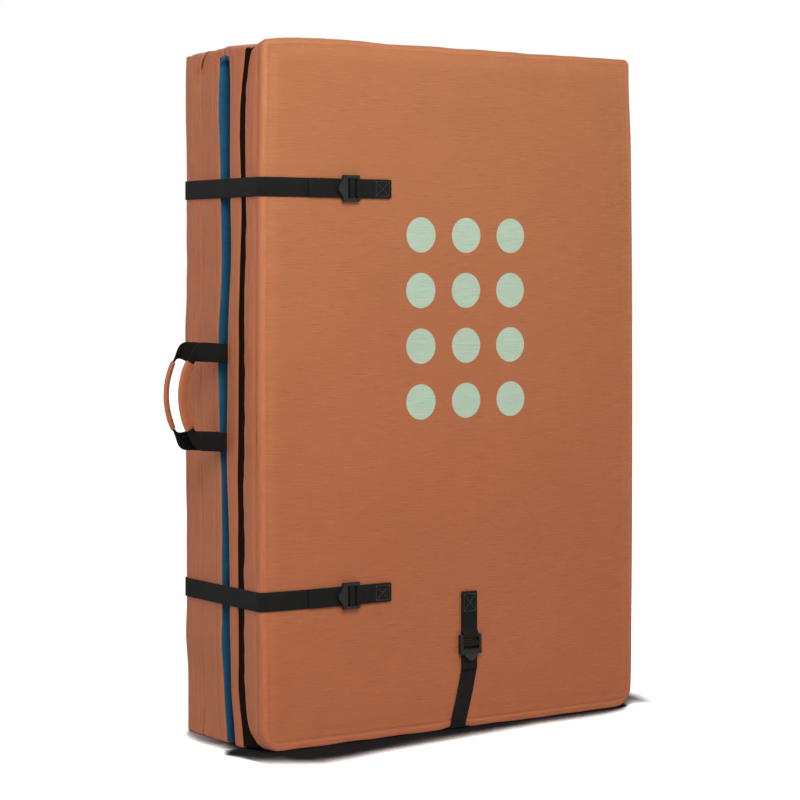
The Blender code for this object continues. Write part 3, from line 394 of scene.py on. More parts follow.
def new_object(name, points, faces, material, uvs=None):
    """A piece from points and faces; uvs, one for each face corner, are in metres of cloth."""
    mesh = bpy.data.meshes.new(name)
    mesh.from_pydata([tuple(p) for p in points], [], faces)
    if uvs is not None:
        layer = mesh.uv_layers.new(name="cloth")
        layer.data.foreach_set("uv", np.array(uvs, np.float32).ravel())
    mesh.shade_smooth()
    piece = bpy.data.objects.new(name, mesh)
    bpy.context.scene.collection.objects.link(piece)
    mesh.materials.append(material)
    return piece


def thicken(piece, thick):
    solid = piece.modifiers.new("cloth thickness", "SOLIDIFY")
    solid.thickness = thick
    solid.offset = -1
    return piece


def ease_edges(piece, width, segments):
    eased = piece.modifiers.new("eased edges", "BEVEL")
    eased.width = width
    eased.segments = segments
    eased.limit_method = "ANGLE"
    return eased


def tag(piece, name, values):
    """A value for each point, which the materials read."""
    layer = piece.data.attributes.new(name, "FLOAT", "POINT")
    layer.data.foreach_set("value", np.array(values, np.float32))


# Materials

class Paint:
    """The node tree of a material or of the world, with short ways to add to it."""

    def __init__(self, owner):
        owner.use_nodes = True
        self.tree = owner.node_tree

    def feed(self, value, socket):
        """Joins a node's output to a socket, or sets a plain value there."""
        if isinstance(value, bpy.types.NodeSocket):
            self.tree.links.new(value, socket)
        else:
            socket.default_value = value

    def node(self, kind, inputs=None, **settings):
        made = self.tree.nodes.new(kind)
        for key, value in settings.items():
            setattr(made, key, value)
        for key, value in (inputs or {}).items():
            self.feed(value, made.inputs[key])
        return made

    def maths(self, operation, first, *others):
        """One operation on two or more values from the left, or on one."""
        for other in others or (0.0,):
            step = self.node("ShaderNodeMath", {0: first, 1: other}, operation=operation)
            first = step.outputs[0]
        return first

    def times(self, *values):
        return self.maths("MULTIPLY", *values)

    def plus(self, *values):
        return self.maths("ADD", *values)

    def mixed(self, share, first, second, blend="MIX"):
        return self.node("ShaderNodeMix", {0: share, 6: first, 7: second}, data_type="RGBA",
                         blend_type=blend).outputs[2]

    def spread(self, value, low, high, to_low=0.0, to_high=1.0, **settings):
        """Maps a range of a value to another."""
        return self.node("ShaderNodeMapRange", {"Value": value, "From Min": low, "From Max": high,
                                                "To Min": to_low, "To Max": to_high},
                         **settings).outputs[0]

    def noise(self, where, scale, detail=2.0, roughness=0.5):
        return self.node("ShaderNodeTexNoise", {"Vector": where, "Scale": scale, "Detail": detail,
                                                "Roughness": roughness}).outputs[0]

    def stretched(self, where, scale):
        return self.node("ShaderNodeMapping", {"Vector": where, "Scale": scale}).outputs[0]

    def streaks(self, cloth, scale, detail=2.0, roughness=0.5):
        """Noise that runs along the cloth."""
        return self.noise(self.stretched(cloth, scale), 1.0, detail, roughness)

    def cells(self, where, scale, randomness=1.0):
        return self.node("ShaderNodeTexVoronoi", {"Vector": where, "Scale": scale,
                                                  "Randomness": randomness}).outputs["Distance"]

    def cloth(self):
        """Cloth coordinates: metres along and across the weave."""
        return self.node("ShaderNodeUVMap", uv_map="cloth").outputs[0]

    def place(self):
        return self.node("ShaderNodeTexCoord").outputs["Object"]

    def axes(self, where):
        return self.node("ShaderNodeSeparateXYZ", {0: where}).outputs

    def attribute(self, name):
        return self.node("ShaderNodeAttribute", attribute_name=name).outputs["Fac"]


class Surface(Paint):
    """A material with one shader, its colour laid on by a tone and its grain by a bump."""

    def __init__(self, name, roughness, specular=0.5, sheen=0.0, sheen_tint=(1, 1, 1, 1)):
        self.material = bpy.data.materials.new(name)
        super().__init__(self.material)
        self.put("Roughness", roughness)
        self.put("Specular IOR Level", specular)
        self.put("Sheen Weight", sheen)
        self.put("Sheen Roughness", 0.5)
        self.put("Sheen Tint", sheen_tint)

    def put(self, key, value):
        self.feed(value, self.tree.nodes["Principled BSDF"].inputs[key])

    def tint(self, colour, tone):
        self.put("Base Color", self.mixed(1.0, colour, tone, "MULTIPLY"))

    def bump(self, strength, distance, height):
        self.put("Normal", self.node("ShaderNodeBump", {"Strength": strength, "Distance": distance,
                                                        "Height": height}).outputs[0])


def weave_height(paint, cloth, pitch):
    """Plain weave: threads of one way over the other by turns."""
    across, along, _ = paint.axes(cloth)
    turns = 2 * math.pi / pitch
    return paint.times(paint.maths("SINE", paint.times(across, turns)),
                       paint.maths("SINE", paint.times(along, turns)))


# fade is the colour of the painted warm highlight towards the top of a ground face
def cloth_material(name, colour, pitch, roughness, slub, sheen, gloss_tint=(1, 1, 1, 1),
                   fade=(1, 1, 1, 1), print_colour=None):
    """Woven cloth: weave, slubs that run with the cloth's length, tone, painted highlights that
    also stand for a little wear, darker seams and a painted warm highlight towards the top of the
    face.
    """
    paint = Surface(name, roughness, 0.30, sheen, (1.0, 0.88, 0.62, 1))
    paint.put("Specular Tint", gloss_tint)
    cloth, where = paint.cloth(), paint.place()
    slubs = paint.streaks(cloth, (26, 620, 1), 2.5, 0.6)
    fine = paint.streaks(cloth, (120, 1500, 1), 1.0)
    dashes = paint.streaks(cloth, (42, 560, 1), 0.0)
    dash = paint.maths("SUBTRACT", paint.spread(dashes, 0.64, 0.72),
                       paint.spread(dashes, 0.36, 0.28))
    slub_tone = paint.plus(paint.spread(slubs, 0.3, 0.7, 1 - slub, 1 + slub),
                           paint.times(dash, 1.3 * slub))
    fine_tone = paint.spread(fine, 0.3, 0.7, 1 - slub / 2, 1 + slub / 2)
    wide_tone = paint.spread(paint.noise(where, 5.0, 3.0), 0.25, 0.75, 0.96, 1.04)
    # Painted highlight at edges, lips, seam edges and creases, partly standing for edge wear
    worn = paint.spread(paint.attribute("worn"), 0, 1, 1.0, 1.14)
    # Darker along the seams and the hem line
    soiled = paint.spread(paint.attribute("soiled"), 0, 1, 1.0, 0.55)
    # Painted warm highlight: the ground face turns paler and yellower towards its top
    top_highlight = paint.times(paint.spread(paint.axes(where)[2], 0.25, 0.95), paint.attribute("facing"))
    base = paint.mixed(1.0, colour, paint.mixed(top_highlight, (1, 1, 1, 1), fade), "MULTIPLY")
    if print_colour:
        base = paint.mixed(dot_print(paint), base, print_colour)
    paint.tint(base, paint.times(slub_tone, fine_tone, wide_tone, worn, soiled))
    weave = weave_height(paint, cloth, pitch)
    paint.bump(0.35, 0.0006, paint.plus(paint.times(weave, 0.25), slubs, paint.times(dash, 0.5)))
    paint.put("Roughness", paint.spread(slubs, 0.3, 0.7, roughness - 0.05, roughness + 0.06))
    return paint.material


# A plain grid of dots printed on the front cover
DOT_MIDDLE = (0.0125 + PAD_X, 0.553)
DOT_STEP = 0.074
DOT_RADIUS = 0.0235
DOT_SOFT = 0.0003
DOT_COLUMNS = 3
DOT_ROWS = 4


def dot_print(paint):
    """1 inside the printed dots, 0 outside."""
    axes = paint.axes(paint.place())
    squares = []
    for axis, middle, count in ((0, DOT_MIDDLE[0], DOT_COLUMNS), (2, DOT_MIDDLE[1], DOT_ROWS)):
        start = middle - count * DOT_STEP / 2
        cell = paint.maths("DIVIDE", paint.maths("SUBTRACT", axes[axis], start), DOT_STEP)
        inside = paint.times(paint.maths("GREATER_THAN", cell, 0.0),
                             paint.maths("LESS_THAN", cell, float(count)))
        off = paint.times(paint.maths("SUBTRACT", paint.maths("FRACT", cell), 0.5), DOT_STEP)
        squares.append(paint.plus(paint.times(off, off), paint.maths("SUBTRACT", 1.0, inside)))
    distance = paint.maths("SQRT", paint.plus(*squares))
    return paint.spread(distance, DOT_RADIUS + DOT_SOFT, DOT_RADIUS - DOT_SOFT)


def webbing_material(name, colour):
    """Woven webbing: cross ribs in two staggered rows of threads, along its own length."""
    paint = Surface(name, 0.72, 0.13)
    cloth = paint.cloth()
    along, across, _ = paint.axes(cloth)
    rows = paint.maths("SINE", paint.times(across, 2 * math.pi / WEBBING_ROW))
    ribs = paint.maths("SINE", paint.plus(paint.times(along, 2 * math.pi / WEBBING_RIB),
                                          paint.times(rows, 1.3)))
    fibre = paint.streaks(cloth, (300, 2500, 1))
    height = paint.plus(paint.times(ribs, 0.5), paint.times(rows, 0.35), paint.times(fibre, 0.5))
    wide = paint.spread(paint.noise(paint.place(), 30.0), 0.3, 0.7, 0.85, 1.2)
    # Rib tops lighter and hollows darker: painted highlight and shade across the weave
    paint.tint(colour, paint.times(paint.spread(height, -1.0, 1.2, 0.7, 1.45), wide))
    paint.bump(0.5, 0.0004, height)
    return paint.material


def plastic_material(name, colour, roughness):
    """Moulded plastic: fine spark-eroded grain, rubbed a little smoother in places."""
    paint = Surface(name, roughness, 0.32)
    where = paint.place()
    rubbed = paint.noise(where, 90.0, 3.0)
    paint.tint(colour, paint.spread(rubbed, 0.3, 0.7, 0.85, 1.25))
    paint.put("Roughness", paint.spread(rubbed, 0.35, 0.7, roughness - 0.08, roughness + 0.1))
    paint.bump(0.25, 0.0002, paint.noise(where, 2600.0))
    return paint.material


def pile_material(name, colour):
    """Hook-and-loop tape: matted loops."""
    paint = Surface(name, 0.95, 0.04)
    loops = paint.noise(paint.place(), 1400.0, 3.0, 0.7)
    # Tone follows the loops' height: painted shade between the loops, painted highlight on their
    # tops
    paint.tint(colour, paint.spread(loops, 0.3, 0.7, 0.5, 1.6))
    paint.bump(0.8, 0.0008, loops)
    return paint.material


def foam_material(name, colour, cell):
    """Cut foam: small open or closed cells of a given size."""
    paint = Surface(name, 0.9, 0.2)
    where = paint.place()
    cells = paint.cells(where, 1 / cell)
    flecks = paint.spread(paint.noise(where, 350.0, 3.0), 0.3, 0.7, 0.9, 1.1)
    # Cell hollows darker: painted shade in the cells
    paint.tint(colour, paint.times(paint.spread(cells, 0.0, 0.8, 0.72, 1.12), flecks))
    paint.bump(0.6, 0.001, cells)
    return paint.material


def mesh_material(name, colour):
    """Black spacer mesh on the padded straps: rows of small holes."""
    paint = Surface(name, 0.8, 0.3, 0.3)
    holes = paint.cells(paint.stretched(paint.cloth(), (330, 330, 1)), 1.0, 0.15)
    # Holes darker: painted shade in the holes
    paint.tint(colour, paint.spread(holes, 0.1, 0.6, 0.45, 1.6))
    paint.bump(0.7, 0.0008, paint.spread(holes, 0.15, 0.55))
    return paint.material


def thread_material(name, colour):
    """Twisted sewing thread."""
    paint = Surface(name, 0.5, 0.5, 0.2)
    paint.tint(colour, paint.spread(paint.noise(paint.place(), 1800.0), 0.3, 0.7, 0.8, 1.2))
    return paint.material


CANVAS_LOOK = {"colour": CANVAS, "pitch": 0.0011, "roughness": 0.50, "slub": 0.05, "sheen": 0.10,
               "gloss_tint": CANVAS_GLOSS, "fade": CANVAS_TOP_HIGHLIGHT}
CANVAS_CLOTH = cloth_material("canvas cloth", **CANVAS_LOOK)
PRINTED_CLOTH = cloth_material("printed canvas cloth", print_colour=MINT, **CANVAS_LOOK)
BLUE_CLOTH = cloth_material("landing cloth", LANDING_BLUE, pitch=0.0010, roughness=0.60, slub=0.06,
                            sheen=0.1)
BLACK_CLOTH = cloth_material("harness cloth", BLACK, pitch=0.0010, roughness=0.65, slub=0.10,
                             sheen=0.2)
BLACK_MESH = mesh_material("spacer mesh", BLACK)
BLACK_WEBBING = webbing_material("black webbing", BLACK)
HOOK_TAPE = pile_material("hook tape", (0.0100, 0.0050, 0.0034, 1))
PLASTIC = plastic_material("buckle plastic", (0.0085, 0.0088, 0.0100, 1), 0.47)
ORANGE_THREAD = thread_material("canvas thread", CANVAS_THREAD)
DARK_THREAD = thread_material("black thread", BLACK_THREAD)
CLOSED_FOAM = foam_material("closed foam", (0.16, 0.17, 0.18, 1), 0.0012)
OPEN_FOAM = foam_material("open foam", (0.72, 0.66, 0.46, 1), 0.0020)


# Stitches: short threads that dip into the cloth at each end

THREAD = 0.00042
STITCH = 0.0030
STITCH_STEP = 0.0037
CANVAS_STITCH_STEP = 0.0046
THREAD_SIDES = 5
# Half width and half height of the boxes sewn at the straps' ends, and how far in their middles are
SIDE_TAB_BOX, SIDE_TAB_BOX_IN = (0.0105, 0.0095), 0.014
BACK_BOX, BACK_BOX_IN = (0.0115, 0.0095), 0.016
UPRIGHT_BOX, BOTTOM_TAB_BOX_IN = (0.0095, 0.0115), 0.015
ANCHOR_BOX, ANCHOR_BOX_IN = (0.0095, 0.012), 0.017
WAIST_BOX, WAIST_BOX_IN = (0.0135, 0.0155), 0.002
PATCH_SEAMS_IN = (0.0045, 0.0075)
# The rings of one stitch: (share of its length, share of its thickness, thicknesses out)
STITCH_RINGS = ((0, 0.5, -0.5), (0.2, 1, 0.25), (0.8, 1, 0.25), (1, 0.5, -0.5))


def stitches(name, rows, body, thread, step=STITCH_STEP):
    """Rows of stitches along lines, each with the way out of the cloth at every point."""
    last_ring = len(STITCH_RINGS) - 1
    one_stitch, _ = tube(len(STITCH_RINGS), THREAD_SIDES, ends=(0, last_ring))
    made, faces = [], []
    for line, ways in rows:
        lengths = runs_along(line)
        count = max(1, round(lengths[-1] / step))
        pitch = lengths[-1] / count
        for number in range(count):
            start = (number + 0.5) * pitch - STITCH / 2
            ends = []
            for at in (start, start + STITCH):
                k = max(1, min(len(line) - 1, int(np.searchsorted(lengths, at))))
                share = (at - lengths[k - 1]) / max(1e-9, lengths[k] - lengths[k - 1])
                ends.append((line[k - 1].lerp(line[k], share), ways[k - 1].lerp(ways[k], share)))
            (first, way), (last, _) = ends
            along_way = (last - first).normalized()
            way = (way - along_way * way.dot(along_way)).normalized()
            across = along_way.cross(way)
            base = len(made)
            for share, size, high in STITCH_RINGS:
                middle = first.lerp(last, share) + way * high * THREAD
                for part in range(THREAD_SIDES):
                    turn = 2 * math.pi * part / THREAD_SIDES
                    reach = across * math.cos(turn) + way * math.sin(turn)
                    made.append(middle + reach * size * THREAD + ORIGIN)
            faces += [tuple(base + corner for corner in face) for face in one_stitch]
    piece = new_object(name, made, faces, thread)
    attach(piece, body)
    return piece


def box_rows(middle, box, way):
    """The rows of a box with its two diagonals; box is its half width and half height."""
    middle, one, other = Vector(middle), X_AXIS * box[0], Z_AXIS * box[1]
    corners = [middle + one + other, middle - one + other, middle - one - other,
               middle + one - other]
    lines = [(corners[i], corners[(i + 1) % 4]) for i in range(4)]
    lines += [(corners[0], corners[2]), (corners[1], corners[3])]
    return [([a, b], [way, way]) for a, b in lines]


# Shells: a face of cloth lines and rings round it, from a rounded outline

def cloth_lines(low, high):
    """Places of the cloth lines between two edges, close together near each."""
    first, last = low + NEAR_LINES[-1], high - NEAR_LINES[-1]
    count = max(2, round((last - first) / CLOTH_STEP))
    middle = [first + (last - first) * i / count for i in range(1, count)]
    return [low + n for n in NEAR_LINES] + middle + [high - n for n in reversed(NEAR_LINES)]


def past_corner(x, z, half, low, high, radii):
    """In the upper half or not, the corner's radius, and how far past the corner's centre."""
    upper = z > (low + high) / 2
    radius = radii[0] if upper else radii[1]
    over_z = z - (high - radius) if upper else low + radius - z
    return upper, radius, abs(x) - (half - radius), over_z


def rounded(x, z, half, low, high, radii):
    """Moves a point of a rectangle to the like point of one with round corners."""
    upper, radius, over_x, over_z = past_corner(x, z, half, low, high, radii)
    if over_x <= 0 or over_z <= 0:
        return x, z
    u, v = over_x / radius, over_z / radius
    new_x = math.copysign(half - radius + radius * u * math.sqrt(1 - v * v / 2), x)
    new_z = radius * v * math.sqrt(1 - u * u / 2)
    return new_x, (high - radius + new_z) if upper else (low + radius - new_z)


def top_rise(side, x):
    """How far the stuffed lid stands above its plain height, along its top."""
    wave = waves(TOP_WAVES, x, side, 4.0)
    left = TOP_RISE_LEFT[side] * hump(x, *TOP_RISE_AT)
    return TOP_RISE[side] + left + wave * (1 if side == FRONT else 0.5)


def drawn(x, z, side, depth):
    """Draws the corners in, as cloth pulls them, raises the top and lifts the strap's channel."""
    upper = ease(PAD_HEIGHT - TOP_REACH, PAD_HEIGHT, z)
    across = x / PAD_HALF
    if side == BACK and x < 0:
        bulge = -along(BACK_BULGE, z) * across ** 4
    elif x > 0:
        bulge = (along(FRONT_BULGE, z) if side == FRONT else -SPINE_TUCK) * across ** 4
    else:
        bulge = 0.0
    reach = SAG_REACH + (SAG_IN_FOLD * (1 - ease(*SAG_DEPTHS, depth)) if side == FRONT else 0)
    sag = along(TOP_SAG[side], depth) * fall(x + PAD_HALF, reach) * upper
    span = 2 * z / PAD_HEIGHT - 1
    x = x - CORNER_DRAW * across * span ** 2
    z = z - TOP_DRAW[side] * max(0, span) * across ** 2
    x = x + bulge
    z = z + top_rise(side, x) * upper - sag
    near = 1 - ease(CHANNEL_HALF, CHANNEL_HALF + CHANNEL_RAMP, abs(x - BOTTOM_STRAP_X))
    return x, z + CHANNEL * near * (1 - ease(*CHANNEL_TOP, z))


def radii_at(radii, inset):
    return [max(r - inset, r * 0.4) for r in radii]


class Shell:
    """Cover cloth of one half: points, faces and cloth coordinates."""

    def __init__(self, side, inset, inward=False):
        self.turned = (side == BACK) != inward
        self.side = side
        self.inset = inset
        self.xs = cloth_lines(-(PAD_HALF - inset), PAD_HALF - inset)
        self.zs = cloth_lines(inset, PAD_HEIGHT - inset)
        self.points, self.faces, self.uvs = [], [], []
        self.worn, self.soiled, self.outs = [], [], []
        columns, rows = len(self.xs), len(self.zs)
        self.rim = [(i, 0) for i in range(columns)] + [(columns - 1, j) for j in range(1, rows)]
        self.rim += [(i, rows - 1) for i in range(columns - 2, -1, -1)]
        self.rim += [(0, j) for j in range(rows - 2, 0, -1)]
        self.lengths = [0.0]
        for (i, j), (k, m) in zip(self.rim, self.rim[1:] + self.rim[:1]):
            step = abs(self.xs[i] - self.xs[k]) + abs(self.zs[j] - self.zs[m])
            self.lengths.append(self.lengths[-1] + step)

    def rim_places(self, inset, radii, depth):
        """(x, z, out x, out z) round the pad at an inset, one for each station of the rim."""
        half, low, high = PAD_HALF - inset, inset, PAD_HEIGHT - inset
        at_radii = radii_at(radii, inset)
        stretch_x = half / (PAD_HALF - self.inset)
        stretch_z = (high - low) / (PAD_HEIGHT - 2 * self.inset)
        places = []
        for i, j in self.rim:
            flat_x, flat_z = self.xs[i] * stretch_x, low + (self.zs[j] - self.inset) * stretch_z
            x, z = rounded(flat_x, flat_z, half, low, high, at_radii)
            upper, _, over_x, over_z = past_corner(x, z, half, low, high, at_radii)
            up = 1 if upper else -1
            if over_x > 0 and over_z > 0:
                out = Vector((math.copysign(over_x, x), up * over_z))
            elif abs(abs(x) - half) < abs((high - z) if upper else (z - low)):
                out = Vector((math.copysign(1, x), 0))
            else:
                out = Vector((0, up))
            out.normalize()
            x, z = drawn(x, z, self.side, depth)
            places.append((x, z, out.x, out.y))
        return places

    def add_face(self, radii, level, relief):
        """The flat side, its depth from level(x, z), moved out by relief(x, z, inset)."""
        rows = len(self.zs)
        half, low, high = PAD_HALF - self.inset, self.inset, PAD_HEIGHT - self.inset
        at_radii = radii_at(radii, self.inset)
        for flat_x in self.xs:
            for flat_z in self.zs:
                x, z = rounded(flat_x, flat_z, half, low, high, at_radii)
                inset = min(insets(flat_x, flat_z))
                lift, soiled = relief(x, z, inset)
                depth = level(flat_x, flat_z)
                x, z = drawn(x, z, self.side, depth)
                self.points.append((x, depth + lift, z))
                # Painted highlight along the face's rim and on a band just inside it, partly edge
                # wear
                self.worn.append(0.5 * hump(inset, self.inset, 0.003)
                                 + 0.45 * (1 - ease(0.017, 0.027, inset)))
                self.soiled.append(soiled)
                self.outs.append(Vector((0, 1, 0)))
        for i in range(len(self.xs) - 1):
            for j in range(rows - 1):
                a, b = i * rows + j, (i + 1) * rows + j
                quad = (a, b, b + 1, a + 1)
                self.put(quad, [(self.points[p][0], self.points[p][2]) for p in quad])
        return [i * rows + j for i, j in self.rim]

    def put(self, quad, uv):
        """Adds a face, turned to point out on either half."""
        if self.turned:
            quad, uv = quad[::-1], uv[::-1]
        self.faces.append(tuple(quad))
        self.uvs.extend(uv)

    def add_ring(self, before, inset, depth, radii, move, worn=0.0, soiled=0.0, creases=(),
                 seed=0.0):
        """A ring joined to the one before; move(x, z, s) gives (out, depth) shifts."""
        start = len(self.points)
        for (x, z, out_x, out_z), s in zip(self.rim_places(inset, radii, depth), self.lengths):
            out, deeper = move(x, z, s)
            crease = 0.0
            if creases:
                crease = crease_at(depth, creases, s, seed) * free_at(self.side, x, z)
            out += CREASE * crease * calm(x)
            self.points.append((x + out_x * out, depth + deeper, z + out_z * out))
            # The creases' ridges get a painted highlight
            self.worn.append(worn + CREASE_HIGHLIGHT * crease)
            self.soiled.append(soiled)
            self.outs.append(Vector((out_x, 0, out_z)))
        ring = list(range(start, len(self.points)))
        if before is not None:
            old = self.points[before[0]][1]
            for i in range(len(ring)):
                j = (i + 1) % len(ring)
                s, t = self.lengths[i], self.lengths[i + 1]
                self.put((before[i], ring[i], ring[j], before[j]),
                         [(s, old), (s, depth), (t, depth), (t, old)])
        return ring

    def piece(self, name, material, slot):
        points = [placed(x, depth, z, self.side) for x, depth, z in self.points]
        piece = new_object(name, points, self.faces, material, self.uvs)
        tag(piece, "worn", self.worn)
        tag(piece, "soiled", self.soiled)
        # Where the ground face is, for its painted highlight towards the top
        tag(piece, "facing",
            [ease(FACE - EDGE, FACE - EDGE / 4, depth) for _, depth, _ in self.points])
        return piece

    def sew(self, name, body, ring):
        """A row of stitches along a ring."""
        ring = ring + ring[:1]
        points = [self.points[i] for i in ring]
        line = [Vector((x, self.side * depth, z)) for x, depth, z in points]
        stitches(name, [(line, [self.outs[i] for i in ring])], body, ORANGE_THREAD,
                 CANVAS_STITCH_STEP)


# Where something flat lies on a cover, so that the cloth stays smooth and level under it:
# (middle x, middle z, half width, half height)
FRONT_PRESSED = ((-0.235, UPPER_STRAP_Z, 0.150, 0.015), (-0.235, LOWER_STRAP_Z, 0.150, 0.015),
                 (BOTTOM_STRAP_X + 0.006, 0.085, 0.026, 0.105))
BACK_PRESSED = ((-0.255, UPPER_STRAP_Z, 0.065, 0.015), (-0.255, LOWER_STRAP_Z, 0.065, 0.015),
                (BOTTOM_STRAP_X, 0.045, 0.015, 0.065), (0, PATCH_Z, 0.120, 0.046),
                (-0.14, 0.165, 0.02, 0.04), (0.14, 0.165, 0.02, 0.04),
                (-0.18, WAIST_Z, 0.07, 0.025), (0.18, WAIST_Z, 0.07, 0.025))


def free_at(side, x, z):
    """0 under a strap or patch, rising to 1 a little way from it."""
    most = 0.0
    for middle_x, middle_z, half_x, half_z in (FRONT_PRESSED if side == FRONT else BACK_PRESSED):
        off = max(abs(x - middle_x) - half_x, abs(z - middle_z) - half_z, 0)
        most = max(most, 1 - ease(0.0, FREE_RAMP, off))
    return 1 - most


def puckers(x, z, size, seeds):
    """Gathers at the seams, of a size from FACE_PUCKERS or LANDING_PUCKERS."""
    high, reach, few, many = size
    to_side, to_end = insets(x, z)
    return high * (fall(to_side, reach) * grain(x * few, z * many, seeds[0])
                   + fall(to_end, reach) * grain(x * many, z * few, seeds[1]))


def face_relief(side, seed):
    """Puckers along the seams and slow waves over a ground cover, and how much darker the seam line
    is coloured.
    """
    def relief(x, z, inset):
        loose = waves(FACE_WAVES, x, z, seed) + puckers(x, z, FACE_PUCKERS, (seed + 1, seed + 2))
        loose += 0.0009 * hump(inset, 0.026, 0.012)
        low = 1 - ease(0.03, 0.16, z)
        seam_share = (0.16 + 0.84 * low * (0.7 + 0.5 * grain(x * 9, z * 9, seed + 7)))
        seam = -0.0009 * seam_share * hump(inset, FACE_SEAM, 0.0010)
        seam += 0.0005 * seam_share * hump(inset, FACE_RIDGE, 0.0014)
        seam += 0.0007 * hump(inset - EDGE, WELT, 0.0012)
        # Darker along the sewn seam line, most towards the bottom
        soiled = 0.45 * seam_share * hump(inset, FACE_SEAM, 0.0008)
        return loose * free_at(side, x, z) + seam, soiled
    return relief


def crowned(to_side, to_end):
    """Depth of a ground face at its distances in from a side and from an end."""
    return FACE + GROUND_CROWN * face_crown(to_side) * face_crown(to_end)


def ground_level(x, z):
    """Depth of a ground face at a point of the flat outline."""
    return crowned(*insets(x, z))


def corner_way(x, z):
    """Way along the rim from the nearer corner, and 0 for a top corner or 1 for a low one."""
    return sum(insets(x, z)), int(z < PAD_HEIGHT / 2)


def lip_back(side, way, low):
    """How far a lid's lip is cut back at a way from its corner."""
    deep, begin, fade = LIP_BACK[side][low]
    return deep * fall(max(0, way - begin), fade)


def calm(x):
    """1 all round the pad but at the spine, where the two halves need room when it lies open."""
    return 1 - SPINE_CALM * ease(PAD_HALF - SPINE_NEAR[0], PAD_HALF - SPINE_NEAR[1], x)


def skirt_move(side, share, seed, lip_wave):
    """Lengthwise creases of a skirt, its wavy lip and the cut-back at its corners."""
    def move(x, z, s):
        free = free_at(side, x, z)
        crease = waves(SKIRT_WAVES, s, share, seed)
        puff = 0.0009 * math.sin(math.pi * share) - 0.0014 * hump(share, 0.10, 0.10)
        way, low = corner_way(x, z)
        back = lip_back(side, way, low) * share ** 1.6
        wave = lip_wave * share ** 4 * waves(LIP_WAVES, s, seed, 1) * free
        if side == FRONT:
            back += along(LID_LINE, z) * open_share(x) * share ** 2
        elif not low:
            puff += CORNER_PUFF * (1 - ease(*CORNER_PUFF_WAY, way)) * share ** 3
        return (crease + puff) * free * calm(x), back + wave
    return move


def edge_move(side, seed, square):
    """Makes the lid's edge squarer than its rounding, but for where a strap bends over it."""
    skirt = skirt_move(side, 0, seed, 0)

    def move(x, z, s):
        out, deeper = skirt(x, z, s)
        free = free_at(side, x, z)
        return out + square * free, deeper + square * free
    return move


def crease_at(depth, lines, s, seed):
    """Height of the long thin folds near a ring; they come and go along their lines' depths."""
    high = 0.0
    for number, line in enumerate(lines):
        at = line + CREASE_WANDER * grain(s * 7, seed + number * 3, 2)
        shown = ease(-0.12, 0.22, grain(s * 9, seed + number * 5, 6))
        high += shown * hump(depth, at, CREASE_WIDTH)
    return high


def open_share(x):
    """1 at the open side, fading to 0 at the middle of the ends."""
    return min(1.0, max(0.0, -1.1 * x / PAD_HALF))


def ground_cover(name, side, seed):
    """Lid of one half: crowned face, rounded edge with its sewn welt, and skirt."""
    shell = Shell(side, EDGE)
    radii = LID_RADII[side]
    lip = LIP - (BACK_OVERLAP if side == BACK else 0)
    ring = shell.add_face(radii, ground_level, face_relief(side, seed))
    for step in range(1, EDGE_STEPS + 1):
        turn = math.pi / 2 * step / EDGE_STEPS
        # The rounded edge's first rings get a painted highlight, the rest a little
        ring = shell.add_ring(ring, EDGE * (1 - math.sin(turn)), FACE - EDGE * (1 - math.cos(turn)),
                              radii, edge_move(side, seed, SQUARE * math.sin(2 * turn)),
                              worn=1.0 if step < 3 else 0.25)
    start = FACE - EDGE
    count = round((start - lip) / RING_STEP)
    for step in range(1, count + 1):
        share = step / count
        # Darker along the hem line
        hem = hump(share, HEM_AT, 0.02)
        # The skirt's lip gets a painted highlight
        ring = shell.add_ring(ring, 0.0004 * hem, start - (start - lip) * share, radii,
                              skirt_move(side, share, seed + 9, SKIRT_LIP_WAVE[side]),
                              worn=0.5 * ease(0.85, 1, share), soiled=0.12 * hem,
                              creases=SKIRT_CREASES[side], seed=seed)
        if step == count - 3:
            shell.sew(name + "_hem_stitches", name + "_half", ring)
    piece = shell.piece(name + "_ground_cover", PRINTED_CLOTH if side == FRONT else CANVAS_CLOTH,
                        "cover_cloth")
    return thicken(piece, COVER)


def band_start(side):
    return LIP - BAND_SHOWN[side]


def lips_meet(x, z):
    """1 at the open side's top corner, where the two walls' lips close on each other."""
    way = PAD_HEIGHT - z + (PAD_HALF + x) * 0.3
    return 1 - ease(*MEET_WAY, way) if x < 0 else 0.0


def lip_shift(side, x, z):
    """How far a wall's lip moves along the depth: to LIP_LINE, at the top corner to the other."""
    if x > 0:
        return 0.0
    meet = lips_meet(x, z)
    place = along(LIP_LINE[side], z) * (1 - meet) + LIPS_MEET[side] * meet
    return (place - SEAM) * open_share(x)


def band_shift(side, x, z):
    return along(BAND_LINE, z) * open_share(x) if side == FRONT else 0.0


def wall_move(side, share, seed):
    """Small creases across a wall, its wavy lip and the lips' lean at their corners."""
    def move(x, z, s):
        free = free_at(side, x, z)
        crease = waves(WALL_WAVES, s, share, seed)
        wave = 0.0008 * grain(s * 11, seed, 7) * (1 - share) ** 2
        wave += lip_shift(side, x, z) * (1 - share) ** 1.2
        wave += band_shift(side, x, z) * share ** 2
        lap = MEET_LAP * lips_meet(x, z) * max(0, 1 - share / 0.4) if side == FRONT else 0.0
        puff = 0.0008 * math.sin(math.pi * share)
        return (crease * min(1, share * 6) + puff) * free * calm(x) + lap, wave
    return move


